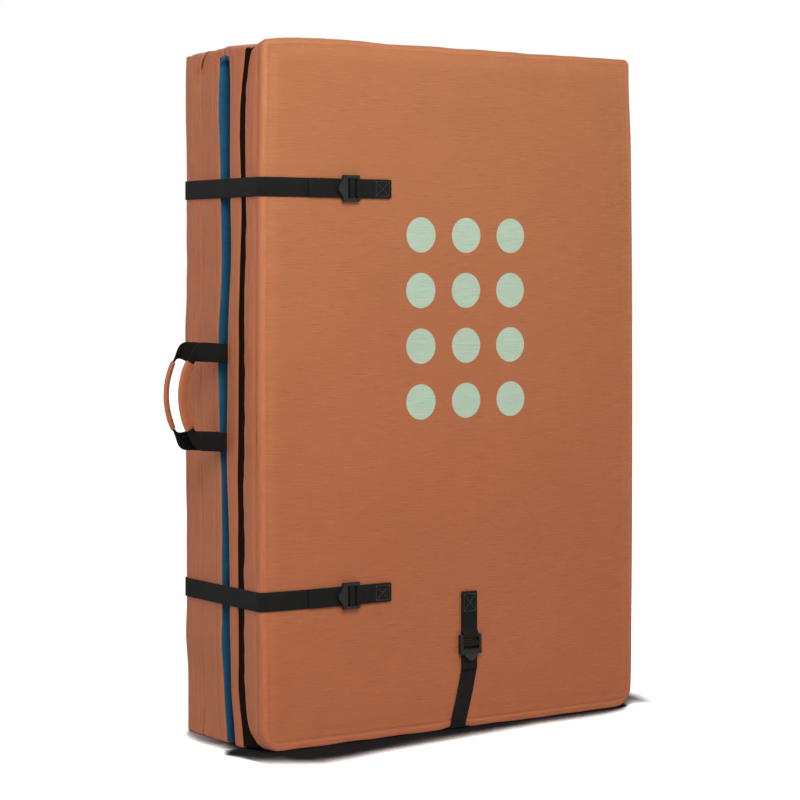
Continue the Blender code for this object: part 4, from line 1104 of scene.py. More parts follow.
def side_wall(name, side, seed):
    """Cloth wall between the landing side's seam and the hook band."""
    shell = Shell(side, WALL_EDGE, inward=True)
    far = band_start(side)
    tuck = WALL_TUCK[side]
    near = SEAM + 0.0022
    rings = [(WALL_EDGE, SEAM + 0.0040), (0.0017, SEAM + 0.0009), (0.0008, SEAM),
             (0.0002, SEAM + 0.0008), (0, near)]
    count = round((far - tuck - near) / WALL_RING_STEP)
    rings += [(0, near + (far - tuck - near) * step / count) for step in range(1, count + 1)]
    rings += [(0.0006, far - tuck * 0.5), (0.0018, far - tuck * 0.12), (WALL_INSET - 0.0004, far)]
    ring = None
    for inset, depth in rings:
        share = min(1, max(0, (depth - SEAM) / (far - SEAM)))
        # Darker along the wall's seam
        seam = hump(depth - SEAM, WALL_SEAM, 0.0008)
        shown = inset < 0.0025
        # Painted highlight along the wall's rounded seam edge
        ring = shell.add_ring(ring, inset + 0.0006 * seam if shown else inset, depth, WALL_RADII,
                              wall_move(side, share if shown else round(share), seed),
                              worn=0.8 * hump(depth - SEAM, 0.001, 0.002), soiled=0.35 * seam,
                              creases=WALL_CREASES[side] if shown else (), seed=seed)
        if shown and abs(depth - SEAM - WALL_STITCHES) < WALL_RING_STEP / 2:
            shell.sew(name + "_wall_stitches", name + "_half", ring)
    shell.add_ring(ring, WALL_INSET, far + BAND_BEHIND, LID_RADII[side], wall_move(side, 1, seed))
    piece = shell.piece(name + "_wall_cloth", CANVAS_CLOTH, "cover_cloth")
    return thicken(piece, COVER)


def hook_tape(name, side, seed):
    """Band that the lid's skirt closes on, a little wavy where it shows; at the back half's top
    corner it is pushed out under the lid's lip as a dark slit that stands for the lip's shadow.
    """
    shell = Shell(side, BAND_INSET, inward=True)
    low = band_start(side) - 0.001

    def move(x, z, s):
        if side == FRONT:
            return 0.0, 0.0012 * grain(s * 18, seed + 2) + band_shift(side, x, z)
        way, at_low = corner_way(x, z)
        if at_low:
            return 0.0, 0.0
        # The real band stands out here as a dark slit, for the lid lip's shadow
        shown = 1 - ease(*SLIT_WAY, way)
        return SLIT_OUT * shown, lip_back(BACK, way, 0) - SLIT * shown

    ring = None
    for inset, depth in ((0.0018, low + 0.0004), (0.0004, low), (0, low + 0.0008)):
        ring = shell.add_ring(ring, BAND_INSET + inset, depth, WALL_RADII, move)
    for depth in (LIP + more for more in BAND_RINGS):
        share = ease(LIP + BAND_ROUNDS[0], LIP + BAND_ROUNDS[1], depth)
        radii = [a + (b - a) * share for a, b in zip(WALL_RADII, LID_RADII[side])]
        ring = shell.add_ring(ring, BAND_INSET, depth, radii, lambda x, z, s: (0.0, 0.0))
    piece = shell.piece(name + "_hook_tape", HOOK_TAPE, "hook_band")
    return thicken(piece, BAND_THICK)


def landing_shift(side, x, z):
    """How far the landing side goes with the wall's lip near the open side."""
    inset = max(0, PAD_HALF + x) if side == FRONT else min(insets(x, z))
    return lip_shift(side, x, z) * (1 - ease(*LANDING_FOLLOWS, inset))


def landing_cover(name, side, seed):
    """Blue landing side, crowned towards the middle of the fold, sewn in the walls' lips."""
    shell = Shell(side, LANDING_EDGE, inward=True)

    def level(x, z):
        across, up = (smooth_crown((inset - LANDING_EDGE) / LANDING_REACH)
                      for inset in insets(x, z))
        return SEAM + 0.0006 - LANDING_CROWN * across * up + landing_shift(side, x, z)

    def relief(x, z, inset):
        return waves(LANDING_WAVES, x, z, seed) + puckers(x, z, LANDING_PUCKERS, (seed, seed)), 0.0

    ring = shell.add_face(WALL_RADII, level, relief)
    shell.add_ring(ring, 0.0018, SEAM + 0.0040, WALL_RADII,
                   lambda x, z, s: (0.0, lip_shift(side, x, z)))
    piece = shell.piece(name + "_landing_cover", BLUE_CLOTH, "landing_cloth")
    return thicken(piece, LANDING_THICK)


def press_foam(mesh, name, side):
    """Cuts a foam in strips and squeezes it with its stack where the landing cover lies deeper."""
    layers = [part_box(name + layer) for layer in ("_top_foam", "_base_foam")]
    depths = [side * (corner.y - PAD_Y) for box in layers for corner in box]
    landing, ground = min(depths), max(depths) - GROUND_CROWN - COVER
    work = bmesh.new()
    work.from_mesh(mesh)
    cuts = [(X_AXIS, Vector((-PAD_HALF + inset, 0, 0))) for inset in FOAM_CUTS]
    cuts += [(Z_AXIS, Vector((0, 0, height / 1000))) for height in range(15, 900, 15)]
    for way, place in cuts:
        bmesh.ops.bisect_plane(work, geom=work.verts[:] + work.edges[:] + work.faces[:],
                               plane_co=place + ORIGIN, plane_no=way)
    for vert in work.verts:
        depth = side * (vert.co.y - PAD_Y)
        shift = max(0, landing_shift(side, vert.co.x - PAD_X, vert.co.z))
        shift += FOAM_ROOM * ease(0, 0.010, shift)
        vert.co.y += side * shift * max(0, ground - depth) / (ground - landing)
    work.to_mesh(mesh)
    work.free()


def rounded_slab(node_name, material, name, side, edge):
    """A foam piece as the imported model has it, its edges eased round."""
    source = bpy.data.objects[node_name]
    mesh = source.data.copy()
    mesh.transform(source.matrix_world)
    press_foam(mesh, name, side)
    piece = bpy.data.objects.new(node_name + "_sheet", mesh)
    bpy.context.scene.collection.objects.link(piece)
    mesh.materials.clear()
    mesh.materials.append(material)
    mesh.shade_smooth()
    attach(piece, name + "_half")
    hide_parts(node_name)
    ease_edges(piece, edge, 3)


def build_half(name, side, seed):
    body = name + "_half"
    for piece, replaced in ((ground_cover(name, side, seed), "_ground_panel"),
                            (side_wall(name, side, seed + 13), "_sidewall"),
                            (landing_cover(name, side, seed + 21), "_landing_panel"),
                            (hook_tape(name, side, seed + 29), "_hook_band")):
        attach(piece, body)
        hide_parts(name + replaced)
    for layer, material, slot, edge in (("top", CLOSED_FOAM, "closed_foam", 0.0085),
                                        ("core", OPEN_FOAM, "open_foam", 0.0015),
                                        ("base", CLOSED_FOAM, "closed_foam", 0.0012)):
        rounded_slab(name + "_" + layer + "_foam", material, name, side, edge)


# Webbing

def bent(centre, radius, start, end, steps):
    turns = [start + (end - start) * step / steps for step in range(steps + 1)]
    return [(centre[0] + radius * math.cos(t), centre[1] + radius * math.sin(t)) for t in turns]


def stepped(start, end, step=0.004):
    count = max(1, math.ceil(abs(end - start) / step))
    return [start + (end - start) * i / count for i in range(count + 1)]


def ground_at(x, z):
    """Depth of a ground cover's plain outside, where a strap lies on it."""
    return crowned(side_at(z) - abs(x), min(z, PAD_HEIGHT - z))


def side_at(z):
    """Half width of the pad at a height."""
    return PAD_HALF - CORNER_DRAW * (2 * z / PAD_HEIGHT - 1) ** 2


def webbing_section(half):
    """Flat, with round selvages that stand a little proud: (share of the width, more, height)."""
    upper = [(-1, 0.45 * SELVAGE, 0.85 * half), (-1, 1.6 * SELVAGE, half), (-0.6, 0, 0.93 * half),
             (0, 0, 0.95 * half), (0.6, 0, 0.93 * half), (1, -1.6 * SELVAGE, half),
             (1, -0.45 * SELVAGE, 0.85 * half)]
    lower = [(share, more, -high) for share, more, high in reversed(upper)]
    return [(-1, 0, 0)] + upper + [(1, 0, 0)] + lower


def webbing_strip(name, points, across, width, material=None, thick=WEBBING,
                  cut=(True, True)):
    """A flat woven strip along points; across and width may change along it.

    A cut end is drawn in a little, and an end that runs on in another strip is not.
    """
    points = [Vector(p) for p in points]
    count = len(points)
    acrosses = [Vector(a) for a in across] if isinstance(across, list) else [Vector(across)] * count
    widths = width if isinstance(width, list) else [width] * count
    section = webbing_section(thick / 2)
    runs = runs_along(points)
    made = []
    for i, point in enumerate(points):
        along = heading(points, i)
        side_way = (acrosses[i] - along * acrosses[i].dot(along)).normalized()
        up = along.cross(side_way).normalized()
        close = 0.9 if (i == 0 and cut[0]) or (i == count - 1 and cut[1]) else 1.0
        for share, more, high in section:
            reach = share * widths[i] / 2 * close ** 0.5 + more
            made.append(point + side_way * reach + up * high * close + ORIGIN)

    def side_uv(row, part):
        share, more, _ = section[part % len(section)]
        return runs[row], share * widths[row] / 2 + more

    def end_uv(row, part):
        return runs[row], section[part][0] * widths[row] / 2

    faces, uvs = tube(count, len(section), side_uv, ends=(0, count - 1), end_uv=end_uv)
    return new_object(name, made, faces, material or BLACK_WEBBING, uvs)


def threaded(tail):
    """Path (u, n) through a ladder lock: n above the face, u from the anchor bar."""
    grip_end = GRIP_BAR_AT + GRIP_BAR
    grip_high = GRIP_BAR_LOW + GRIP_BAR_DEEP
    half = math.pi / 2
    path = []
    for centre, start, end in (((GRIP_BAR_AT, GRIP_BAR_LOW), -half, -2 * half),
                               ((GRIP_BAR_AT, grip_high), 2 * half, half),
                               ((grip_end, grip_high), half, 0),
                               ((grip_end + 2 * WRAP, TAIL_N + WRAP), 2 * half, 3 * half)):
        path += bent(centre, WRAP, start, end, THREADED_STEPS)
    return path + [(u, TAIL_N) for u in stepped(FRONT_BAR_AT, tail)]


def loop_path(low_length, high_length):
    """Path (u, n) of webbing sewn back on itself round an anchor bar at u 0."""
    path = [(-u, WRAP) for u in stepped(low_length, 0.003)]
    path += bent((0, ANCHOR_N), ANCHOR_WRAP, -math.pi / 2, TAB_FALL, LOOP_STEPS)
    last_u, last_n = path[-1]
    level = WRAP + TAB_STACK
    reached = last_u - (last_n - level) / math.tan(TAB_FALL - math.pi / 2)
    path.append(((last_u + reached) / 2, (last_n + level) / 2 + 0.0002))
    return path + [(-u, level) for u in stepped(-reached, high_length)]


def strap(name, points, across, replaced, body=None, width=WEBBING_WIDTH,
          cut=(True, True)):
    """A webbing strip that rides a body, or that is left unattached with its transform baked."""
    piece = webbing_strip(name, points, across, width, cut=cut)
    if body:
        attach(piece, body)
    else:
        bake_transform(piece)
    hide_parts(replaced)


def side_strap(name, z):
    """One closing strap over the open side: its back, side and front runs and its buckle's tab."""
    reach = side_at(z)
    turn_x = -(reach - EDGE)
    turn_y = FACE - EDGE
    out = EDGE + LOAD_N
    half = math.pi / 2
    back = [(x, ground_at(x, z) + LOAD_N, z) for x in stepped(turn_x + BACK_SEWN, turn_x)]
    back += [(x, y, z) for x, y in bent((turn_x, turn_y), out, half, 2 * half, CORNER_STEPS)[1:]]
    strap(name + "_back_webbing", back, Z_AXIS, name + "_strap_back",
          cut=(True, False))
    side = [(-(reach + LOAD_N), y, z) for y in stepped(turn_y, -turn_y)]
    side += [(x, y, z)
             for x, y in bent((turn_x, -turn_y), out, 2 * half, 3 * half, CORNER_STEPS)[1:]]
    strap(name + "_side_webbing", side, Z_AXIS, name + "_strap_side",
          cut=(False, False))
    front = [(x, LOAD_N) for x in stepped(turn_x, SIDE_BUCKLE_X - FRONT_BAR_AT)]
    front += [(SIDE_BUCKLE_X - u, n) for u, n in threaded(SIDE_TAIL)]
    front = [(x, -(ground_at(x, z) + n), z) for x, n in front]
    strap(name + "_front_webbing", front, Z_AXIS, name + "_strap_front", name + "_front_run",
          cut=(False, True))
    tab = [(SIDE_BUCKLE_X - u, -(PLATEAU + n), z) for u, n in loop_path(SIDE_TAB, SIDE_TAB)]
    strap(name + "_tab_webbing", tab, Z_AXIS, name + "_buckle_tab", "front_half")


def bottom_strap():
    """The strap under the standing end, up the front face through its buckle."""
    low = CHANNEL_LOW + EDGE
    turn = FACE - EDGE
    out = EDGE + LOAD_N - FIT
    x = BOTTOM_STRAP_X
    half = math.pi / 2
    under = [(x, ground_at(x, z) + LOAD_N - FIT, z) for z in stepped(low + BOTTOM_SEWN, low)]
    under += [(x, y, z) for y, z in bent((turn, low), out, 0, -half, CORNER_STEPS)[1:]]
    under += [(x, y, low - out) for y in stepped(turn, -turn, 0.006)[1:-1]]
    under += [(x, y, z) for y, z in bent((-turn, low), out, -half, -2 * half, CORNER_STEPS)]
    strap("bottom_under_webbing", under, X_AXIS, "bottom_strap_under",
          cut=(True, False))
    straight = BOTTOM_BUCKLE_Z - BOTTOM_TAIL
    lean_from = low + 0.004
    lean = (BOTTOM_BUCKLE_X - x) / (straight - lean_from)
    path = [(z, ground_at(x, z) + LOAD_N - (FIT if z == low else 0))
            for z in stepped(low, BOTTOM_BUCKLE_Z - FRONT_BAR_AT)]
    path += [(BOTTOM_BUCKLE_Z - u, ground_at(x, BOTTOM_BUCKLE_Z - u) + n)
             for u, n in threaded(BOTTOM_TAIL)]
    front = [(x + max(0, min(z, straight) - lean_from) * lean, -depth, z) for z, depth in path]
    strap("bottom_front_webbing", front, X_AXIS, "bottom_strap_front", "bottom_front_run",
          cut=(False, True))
    tab = [(BOTTOM_BUCKLE_X, -(PLATEAU + n), BOTTOM_BUCKLE_Z - u)
           for u, n in loop_path(BOTTOM_TAB, BOTTOM_TAB)]
    strap("bottom_tab_webbing", tab, X_AXIS, "bottom_buckle_tab", "front_half")


# Carry handles

GRIP_STEPS = 28
TURN_STEPS = 12
SLEEVE_SIDES = 20
SLEEVE_ROUND = (0.7, 0.8)
SLEEVE_UV = 0.0026
SLEEVE_THICK = 0.0010
SLEEVE_SEAM = 0.0030
SLEEVE_STITCH_STEP = 0.0040


def handle_places(side):
    """Points, width directions and widths along a handle's webbing, and its sleeve's ends."""
    reach = HANDLE_REACH[side]
    half = math.pi / 2
    bow_radius = ((GRIP_LENGTH / 2) ** 2 + GRIP_BOW ** 2) / (2 * GRIP_BOW)
    bow_turn = math.asin(GRIP_LENGTH / 2 / bow_radius)
    corner_radius = (HANDLE_ARMS - GRIP_LENGTH) / 2 / (1 - math.sin(bow_turn))
    middle = reach - GRIP_WIDTH / 2
    corner_x = -middle + GRIP_BOW + corner_radius * math.cos(bow_turn)
    corner_z = HANDLE_ARMS / 2 - corner_radius
    upper = [(x, HANDLE_ARMS / 2) for x in stepped(HANDLE_SEWN, corner_x)[:-1]]
    upper += bent((corner_x, corner_z), corner_radius, half, 2 * half - bow_turn, TURN_STEPS)
    sleeve = bent((-middle + bow_radius, 0), bow_radius, 2 * half - bow_turn, 2 * half + bow_turn,
                  GRIP_STEPS)
    line = upper + sleeve[1:-1] + [(x, -z) for x, z in reversed(upper)]
    first = len(upper) - 1
    last = first + GRIP_STEPS
    root = -side_at(HANDLE_Z)
    rise = HANDLE_RISE / reach
    points = [Vector((root + x, side * HANDLE_DEPTH[side], HANDLE_Z + z - x * rise))
              for x, z in line]
    acrosses, widths = [], []
    for i in range(len(points)):
        along = heading(points, i)
        into = max(0, min(i - first, last - i) + TURN_STEPS)
        share = ease(0, TURN_STEPS + 2, into)
        turn = Matrix.Rotation(-HANDLE_TWIST[side] * share, 3, along)
        acrosses.append(turn @ along.cross(Y_AXIS))
        widths.append(WEBBING_WIDTH + (GRIP_WEB - WEBBING_WIDTH) * share)
    return points, acrosses, widths, first, last


def handle(name, side):
    body = name + "_handle"
    points, acrosses, widths, first, last = handle_places(side)
    piece = webbing_strip(name + "_handle_strap", points, acrosses, widths)
    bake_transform(piece)
    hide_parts(name + "_handle_webbing")

    def ways(i):
        side_way = acrosses[i].normalized()
        return side_way, heading(points, i).cross(side_way).normalized()

    places = range(first + 2, last - 1)
    runs = runs_along(points[first + 1:last - 1])[1:]
    made = []
    for i, run in zip(places, runs):
        side_way, up = ways(i)
        share = (i - first - 2) / (last - first - 4)
        hem = 1 - 0.10 * math.exp(-(min(share, 1 - share) / 0.05 - 1.0) ** 2 / 0.2)
        end = 0.86 if i in (places[0], places[-1]) else 1.0
        for a, b in oval(SLEEVE_SIDES, GRIP_WIDTH / 2 * end, GRIP_DEEP / 2 * hem * end,
                         SLEEVE_ROUND):
            wrinkle = 1 + 0.06 * grain(run * 160, a * 200, side * 5)
            made.append(points[i] + side_way * a + up * b * wrinkle + ORIGIN)
    faces, uvs = tube(len(places), SLEEVE_SIDES, lambda row, part: (part * SLEEVE_UV, runs[row]))
    sleeve = new_object(name + "_handle_sleeve", made, faces, CANVAS_CLOTH, uvs)
    thicken(sleeve, SLEEVE_THICK)
    rows = []
    for face in (-1, 1):
        line, outs = [], []
        for i in range(first + 4, last - 3):
            side_way, up = ways(i)
            up = up * face
            inner = 1 if side_way.x > 0 else -1
            line.append(points[i] + side_way * (inner * (GRIP_WIDTH / 2 - SLEEVE_SEAM))
                        + up * (GRIP_DEEP / 2 * 0.86))
            outs.append(up)
        rows.append((line, outs))
    stitches(name + "_sleeve_stitches", rows, body, ORANGE_THREAD, SLEEVE_STITCH_STEP)
    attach(sleeve, body)
    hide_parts(name + "_handle_grip")


# Harness on the back face

def shoulder_place(share, side):
    x = side * (SHOULDER_TOP_X + (SHOULDER_LOW_X - SHOULDER_TOP_X) * share)
    z = PATCH_Z + (SHOULDER_LOW_Z - PATCH_Z) * share
    start = FIT + COVER + FIT + SHOULDER_DEEP / 2
    end = SHOULDER_STAND - ANCHOR_N + WRAP + TAB_STACK / 2
    lift = SHOULDER_LIFT * math.sin(math.pi * share) ** 1.5
    rise = start + (end - start) * share + lift * (1 - share * 0.33)
    return Vector((x, PLATEAU + rise, z))


def cut_outline(half_x, half_z, cut):
    """Corners of a rectangle with its corners cut off."""
    outline = []
    for sx, sz in ((1, 1), (-1, 1), (-1, -1), (1, -1)):
        pair = [(sx * half_x, sz * (half_z - cut)), (sx * (half_x - cut), sz * half_z)]
        outline += pair if sx == sz else pair[::-1]
    return outline


def harness_patch():
    """The sewn-on patch, with cut corners and a raised hem."""
    outline = cut_outline(PATCH[0] / 2, PATCH[1] / 2, PATCH_CUT)
    made = [Vector((x + math.copysign(past, x), PLATEAU + FIT + high * COVER,
                    z + math.copysign(past, z))) for past, high in PATCH_RINGS for x, z in outline]
    sides = len(outline)
    last = len(PATCH_RINGS) - 1

    def uv(row, part):
        point = made[row * sides + part % sides]
        return point.x, point.z

    faces, uvs = tube(last + 1, sides, uv, turned=True, ends=(last, 0), end_uv=uv)
    made = [p + Vector((0, 0, PATCH_Z)) + ORIGIN for p in made]
    return new_object("harness_patch_cloth", made, faces, BLACK_CLOTH, uvs)


def shoulder_half(share):
    """Half width of a shoulder strap at a share of its length."""
    return (SHOULDER_END + (SHOULDER_WIDTH - SHOULDER_END) * math.sin(math.pi * share) ** 0.5) / 2


def shoulder_strap(name, side):
    """Padded strap with a bound edge, sewn under the patch's top and narrow at its ends."""
    section = oval(SHOULDER_SIDES, 1, 1, SHOULDER_ROUND)
    made = []
    for step in range(SHOULDER_STEPS + 1):
        share = step / SHOULDER_STEPS
        point = shoulder_place(share, side)
        ahead = shoulder_place(min(1, share + 1 / SHOULDER_STEPS), side)
        behind = shoulder_place(max(0, share - 1 / SHOULDER_STEPS), side)
        along = (ahead - behind).normalized() if 0 < step < SHOULDER_STEPS else -Z_AXIS
        up = X_AXIS.cross(along).normalized()
        half = shoulder_half(share)
        deep = SHOULDER_DEEP / 2 * (0.86 + 0.14 * min(1, 8 * min(share, 1 - share)))
        quilted = 0.10 * hump(math.fmod(share * QUILT_ROWS, 1), 0.5, 0.06)
        for a, b in section:
            rim = hump(abs(a), SHOULDER_SEAM, 0.05)
            high = b * deep * (1 - 0.18 * rim - quilted * (abs(a) < 0.75))
            made.append(point + X_AXIS * (a * half) + up * high + ORIGIN)
    length = abs(PATCH_Z - SHOULDER_LOW_Z)

    def side_uv(row, part):
        across = section[part % SHOULDER_SIDES][0]
        return across * SHOULDER_WIDTH / 2, row / SHOULDER_STEPS * length

    def end_uv(row, part):
        return section[part][0] * SHOULDER_WIDTH / 2, section[part][1] * 0.01

    faces, uvs = tube(SHOULDER_STEPS + 1, SHOULDER_SIDES, side_uv, turned=True,
                      ends=(0, SHOULDER_STEPS), end_uv=end_uv)
    piece = new_object(name + "_shoulder_pad", made, faces, BLACK_MESH, uvs)
    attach(piece, "back_half")
    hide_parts(name + "_shoulder_strap")


def adjusting_webbing(at, side):
    """Route from the lower anchor up to the adjuster at a place, through it and down as a tail."""
    low_y = PLATEAU + LOAD_N
    load_y = at.y + LOAD_N - ANCHOR_N
    anchor_x = side * LOWER_ANCHOR[0]
    straight = at.z - FRONT_BAR_AT - FRONT_BAR
    foot = LOWER_ANCHOR[1] + LOWER_SEWN
    points = [(anchor_x, low_y, z) for z in stepped(LOWER_ANCHOR[1], foot)[:-1]]
    for step in range(RISE_STEPS + 1):
        share = step / RISE_STEPS
        rise = share - math.sin(2 * math.pi * share) / (2 * math.pi) * 0.35
        points.append((anchor_x + (at.x - anchor_x) * share, low_y + (load_y - low_y) * rise,
                       foot + (straight - foot) * share))
    lean = -(at.x - anchor_x) / (straight - foot)
    points += [(at.x + max(0, u - FRONT_BAR_AT - FRONT_BAR) * lean, at.y + n - ANCHOR_N, at.z - u)
               for u, n in threaded(SHOULDER_TAIL)]
    return points


def harness():
    patch = harness_patch()
    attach(patch, "back_half")
    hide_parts("harness_patch")
    for name, side in (("left", -1), ("right", 1)):
        shoulder_strap(name, side)
        end = shoulder_place(1, side)
        at = Vector((end.x, PLATEAU + SHOULDER_STAND, end.z - SHOULDER_TAB))
        length = SHOULDER_TAB - FIT
        tab = [(at.x, at.y + n - ANCHOR_N, at.z - u) for u, n in loop_path(length, length)]
        strap(name + "_shoulder_tab_webbing", tab, X_AXIS, name + "_shoulder_tab", "back_half")
        strap(name + "_adjusting_webbing", adjusting_webbing(at, side), X_AXIS,
              name + "_shoulder_webbing", "back_half")
        near, far = side * (WAIST_HINGE - WAIST_SEWN), side * (WAIST_HINGE - FIT)
        root = [(x, PLATEAU + WRAP, WAIST_Z) for x in stepped(near, far)]
        strap(name + "_waist_root_webbing", root, Z_AXIS, name + "_waist_anchor", "back_half",
              WAIST_WIDTH)
        bar_x = WAIST_HINGE + WAIST_WING
        wing = []
        for u, n in loop_path(WAIST_WING - FIT, WAIST_FOLD):
            lifted = WAIST_RISE * ease(-(WAIST_WING - FIT), -(WAIST_WING - 0.03), u)
            wing.append((side * (bar_x + u), PLATEAU + n + lifted, WAIST_Z))
        strap(name + "_waist_belt_webbing", wing, Z_AXIS, name + "_waist_webbing",
              name + "_waist_wing", WAIST_WIDTH)


def spine():
    """Cloth strip folded into the gap at the spine, which joins the two landing seams."""
    depth = SEAM - FIT - COVER / 2
    far = PAD_HALF - SPINE_INSET - COVER
    path = [(far - s, depth) for s in stepped(SPINE_SEWN, depth)]
    path += bent((far - depth, 0), depth, math.pi / 2, -math.pi / 2, 12)[1:-1]
    path += [(far - s, -depth) for s in stepped(depth, SPINE_SEWN)]
    piece = webbing_strip("spine_cloth", [(x, y, PAD_HEIGHT / 2) for x, y in path], Z_AXIS,
                          PAD_HEIGHT - 2 * SPINE_ENDS, CANVAS_CLOTH, COVER)
    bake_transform(piece)
    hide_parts("spine_strip")


def shoulder_seam(side, edge):
    """Line of stitches along one edge of a shoulder strap, with the ways out."""
    across, along = SHOULDER_ROUND
    high = SHOULDER_DEEP / 2 * (1 - SHOULDER_SEAM ** (2 / across)) ** (along / 2) * 0.83
    line, ways = [], []
    for step in range(4, SHOULDER_STEPS - 3):
        share = step / SHOULDER_STEPS
        here, ahead = shoulder_place(share, side), shoulder_place(share + 0.01, side)
        way = X_AXIS.cross((ahead - here).normalized()).normalized()
        line.append(here + X_AXIS * (edge * SHOULDER_SEAM * shoulder_half(share)) + way * high)
        ways.append(way)
    return line, ways


def sew_ends():
    """Boxes of stitches where webbing is sewn down, and rows along the harness."""
    front, back = -Y_AXIS, Y_AXIS
    tab_high = PLATEAU + WRAP + TAB_STACK + HALF_WEB
    rows, back_rows = [], []
    for z in (UPPER_STRAP_Z, LOWER_STRAP_Z):
        x = SIDE_BUCKLE_X + SIDE_TAB - SIDE_TAB_BOX_IN
        rows += box_rows((x, -tab_high, z), SIDE_TAB_BOX, front)
        x = -(side_at(z) - EDGE) + BACK_SEWN - BACK_BOX_IN
        back_rows += box_rows((x, ground_at(x, z) + LOAD_N + HALF_WEB, z), BACK_BOX, back)
    z = BOTTOM_BUCKLE_Z + BOTTOM_TAB - BOTTOM_TAB_BOX_IN
    rows += box_rows((BOTTOM_BUCKLE_X, -tab_high, z), UPRIGHT_BOX, front)
    stitches("tab_stitches", rows, "front_half", DARK_THREAD)
    z = CHANNEL_LOW + EDGE + BOTTOM_SEWN - BACK_BOX_IN
    y = ground_at(BOTTOM_STRAP_X, z) + LOAD_N - FIT + HALF_WEB
    back_rows += box_rows((BOTTOM_STRAP_X, y, z), UPRIGHT_BOX, back)
    for inset in PATCH_SEAMS_IN:
        outline = cut_outline(PATCH[0] / 2 - inset, PATCH[1] / 2 - inset, PATCH_SEAM_CUT)
        line = [Vector((x, PLATEAU + FIT + COVER, PATCH_Z + z))
                for x, z in outline[1:] + outline[:2]]
        back_rows.append((line, [back] * len(line)))
    for side in (-1, 1):
        anchor = (side * LOWER_ANCHOR[0], PLATEAU + LOAD_N + HALF_WEB,
                  LOWER_ANCHOR[1] + ANCHOR_BOX_IN)
        back_rows += box_rows(anchor, ANCHOR_BOX, back)
        waist_x = side * (WAIST_HINGE - WAIST_SEWN / 2 - WAIST_BOX_IN)
        back_rows += box_rows((waist_x, PLATEAU + WRAP + HALF_WEB, WAIST_Z), WAIST_BOX, back)
        back_rows += [shoulder_seam(side, edge) for edge in (-1, 1)]
    stitches("harness_stitches", back_rows, "back_half", DARK_THREAD)


# Buckles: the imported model's own, with eased edges

def finish_buckles():
    for name in ("upper_buckle", "lower_buckle", "bottom_buckle", "left_adjuster", "right_adjuster",
                 "left_waist_buckle", "right_waist_buckle"):
        buckle = bpy.data.objects[name]
        buckle.data.materials.clear()
        buckle.data.materials.append(PLASTIC)
        ease_edges(buckle, BUCKLE_EDGE, 2).harden_normals = True


build_half("front", FRONT, 3.0)
build_half("back", BACK, 41.0)
spine()
side_strap("upper", UPPER_STRAP_Z)
side_strap("lower", LOWER_STRAP_Z)
bottom_strap()
handle("back", BACK)
handle("front", FRONT)
harness()
sew_ends()
finish_buckles()


# Stage, light and camera, fitted to the photograph
CAMERA_PLACE = (-1.88078, -2.74207, 0.6133)
CAMERA_YAW = math.radians(34.45)
CAMERA_LENS = 108.5
CAMERA_SHIFT = (-0.0191, -0.1587)
WORLD_LIGHT = 0.29
# Name, place, target, size and power
LIGHTS = (("key", (-0.80, -1.80, 1.80), (-0.05, -0.1, 0.55), 1.0, 35),
          ("side", (-2.7, 0.10, 1.3), (-0.3, 0, 0.45), 1.2, 14.2),
          ("fill", (2.2, -2.6, 2.0), (0, 0, 0.5), 1.8, 7))
# What is added to the floor's open sky between two places along x or y: (from, to, added, then)
SHADE_TO_RIGHT = ((-0.33, -0.17, -0.17, 0.0), (-0.17, 0.12, 0.0, 0.17))
SHADE_PAST_RIGHT = (0.31, 0.345, 0.0, -0.16)
SHADE_PAST_LEFT = (-0.358, -0.330, 0.22, 0.0)
SHADE_TO_BACK = (-0.075, -0.045, -0.10, 0.17)
SHADE_BEHIND = (-0.02, 0.10, 0.0, 0.10)
FLOOR_LOW = -0.0004
FLOOR_SHADE = (0.02, 0.02, 0.02, 1)
FLOOR_WHITE = (4.2, 4.2, 4.2, 1)
FLOOR_BOUNCE = (0.78, 0.78, 0.78, 1)


def build_camera():
    data = bpy.data.cameras.new("camera")
    data.sensor_width = 36
    data.lens = CAMERA_LENS
    data.shift_x, data.shift_y = CAMERA_SHIFT
    camera = bpy.data.objects.new("camera", data)
    camera.location = Vector(CAMERA_PLACE) + ORIGIN
    camera.rotation_euler = (math.pi / 2, 0, -CAMERA_YAW)
    bpy.context.scene.collection.objects.link(camera)
    bpy.context.scene.camera = camera


def area_light(name, place, target, size, power):
    data = bpy.data.lights.new(name, "AREA")
    data.size = size
    data.energy = power
    light = bpy.data.objects.new(name, data)
    light.location = Vector(place) + ORIGIN
    light.rotation_euler = (Vector(target) - Vector(place)).to_track_quat("-Z", "Y").to_euler()
    bpy.context.scene.collection.objects.link(light)


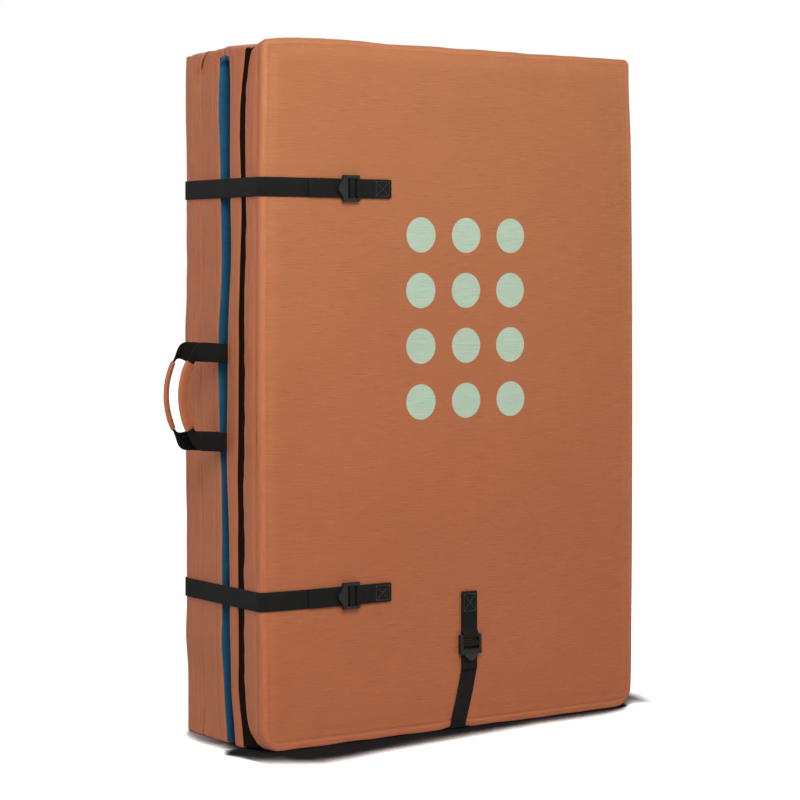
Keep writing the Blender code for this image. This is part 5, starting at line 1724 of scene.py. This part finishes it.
def seen_directly(paint):
    """1 for rays from the camera and for mirrored or passed-on ones."""
    path = paint.node("ShaderNodeLightPath").outputs
    return paint.maths("MAXIMUM", path["Is Camera Ray"], path["Is Glossy Ray"],
                       path["Is Transmission Ray"])


def build_world():
    scene = bpy.context.scene
    scene.view_settings.view_transform = "Standard"
    scene.world = bpy.data.worlds.new("studio")
    paint = Paint(scene.world)
    backing = paint.tree.nodes["Background"]
    backing.inputs["Color"].default_value = (1, 1, 1, 1)
    paint.feed(paint.spread(seen_directly(paint), 0, 1, WORLD_LIGHT, 1.0),
               backing.inputs["Strength"])


def build_floor():
    """White floor that shows only the shade where the pad stands."""
    bpy.ops.mesh.primitive_plane_add(size=40, location=(PAD_X, PAD_Y, FLOOR_LOW))
    floor = bpy.context.object
    floor.name = "floor"
    material = bpy.data.materials.new("floor")
    paint = Paint(material)
    paint.tree.nodes.remove(paint.tree.nodes["Principled BSDF"])
    camera_ray = paint.node("ShaderNodeLightPath").outputs["Is Camera Ray"]
    sky = paint.node("ShaderNodeAmbientOcclusion", {"Distance": 0.15}, samples=32)
    across, deep, _ = paint.axes(paint.place())
    to_right = paint.plus(*(paint.spread(across, *part) for part in SHADE_TO_RIGHT))
    lift = paint.plus(paint.maths("MAXIMUM", to_right, paint.spread(deep, *SHADE_TO_BACK)),
                      paint.plus(paint.spread(across, *SHADE_PAST_RIGHT),
                                 paint.spread(across, *SHADE_PAST_LEFT)))
    contact = paint.spread(paint.plus(sky.outputs["AO"], lift), 0.70, 0.96,
                           interpolation_type="SMOOTHSTEP")
    contact = paint.maths("MAXIMUM", contact, paint.spread(deep, *SHADE_BEHIND))
    seen = paint.mixed(contact, FLOOR_SHADE, FLOOR_WHITE)
    shade = paint.mixed(camera_ray, FLOOR_BOUNCE, seen)
    diffuse = paint.node("ShaderNodeBsdfDiffuse", {"Color": shade}).outputs[0]
    paint.feed(diffuse, paint.tree.nodes["Material Output"].inputs["Surface"])
    floor.data.materials.append(material)


build_camera()
build_world()
build_floor()
for light in LIGHTS:
    area_light(*light)

bpy.context.view_layer.update()
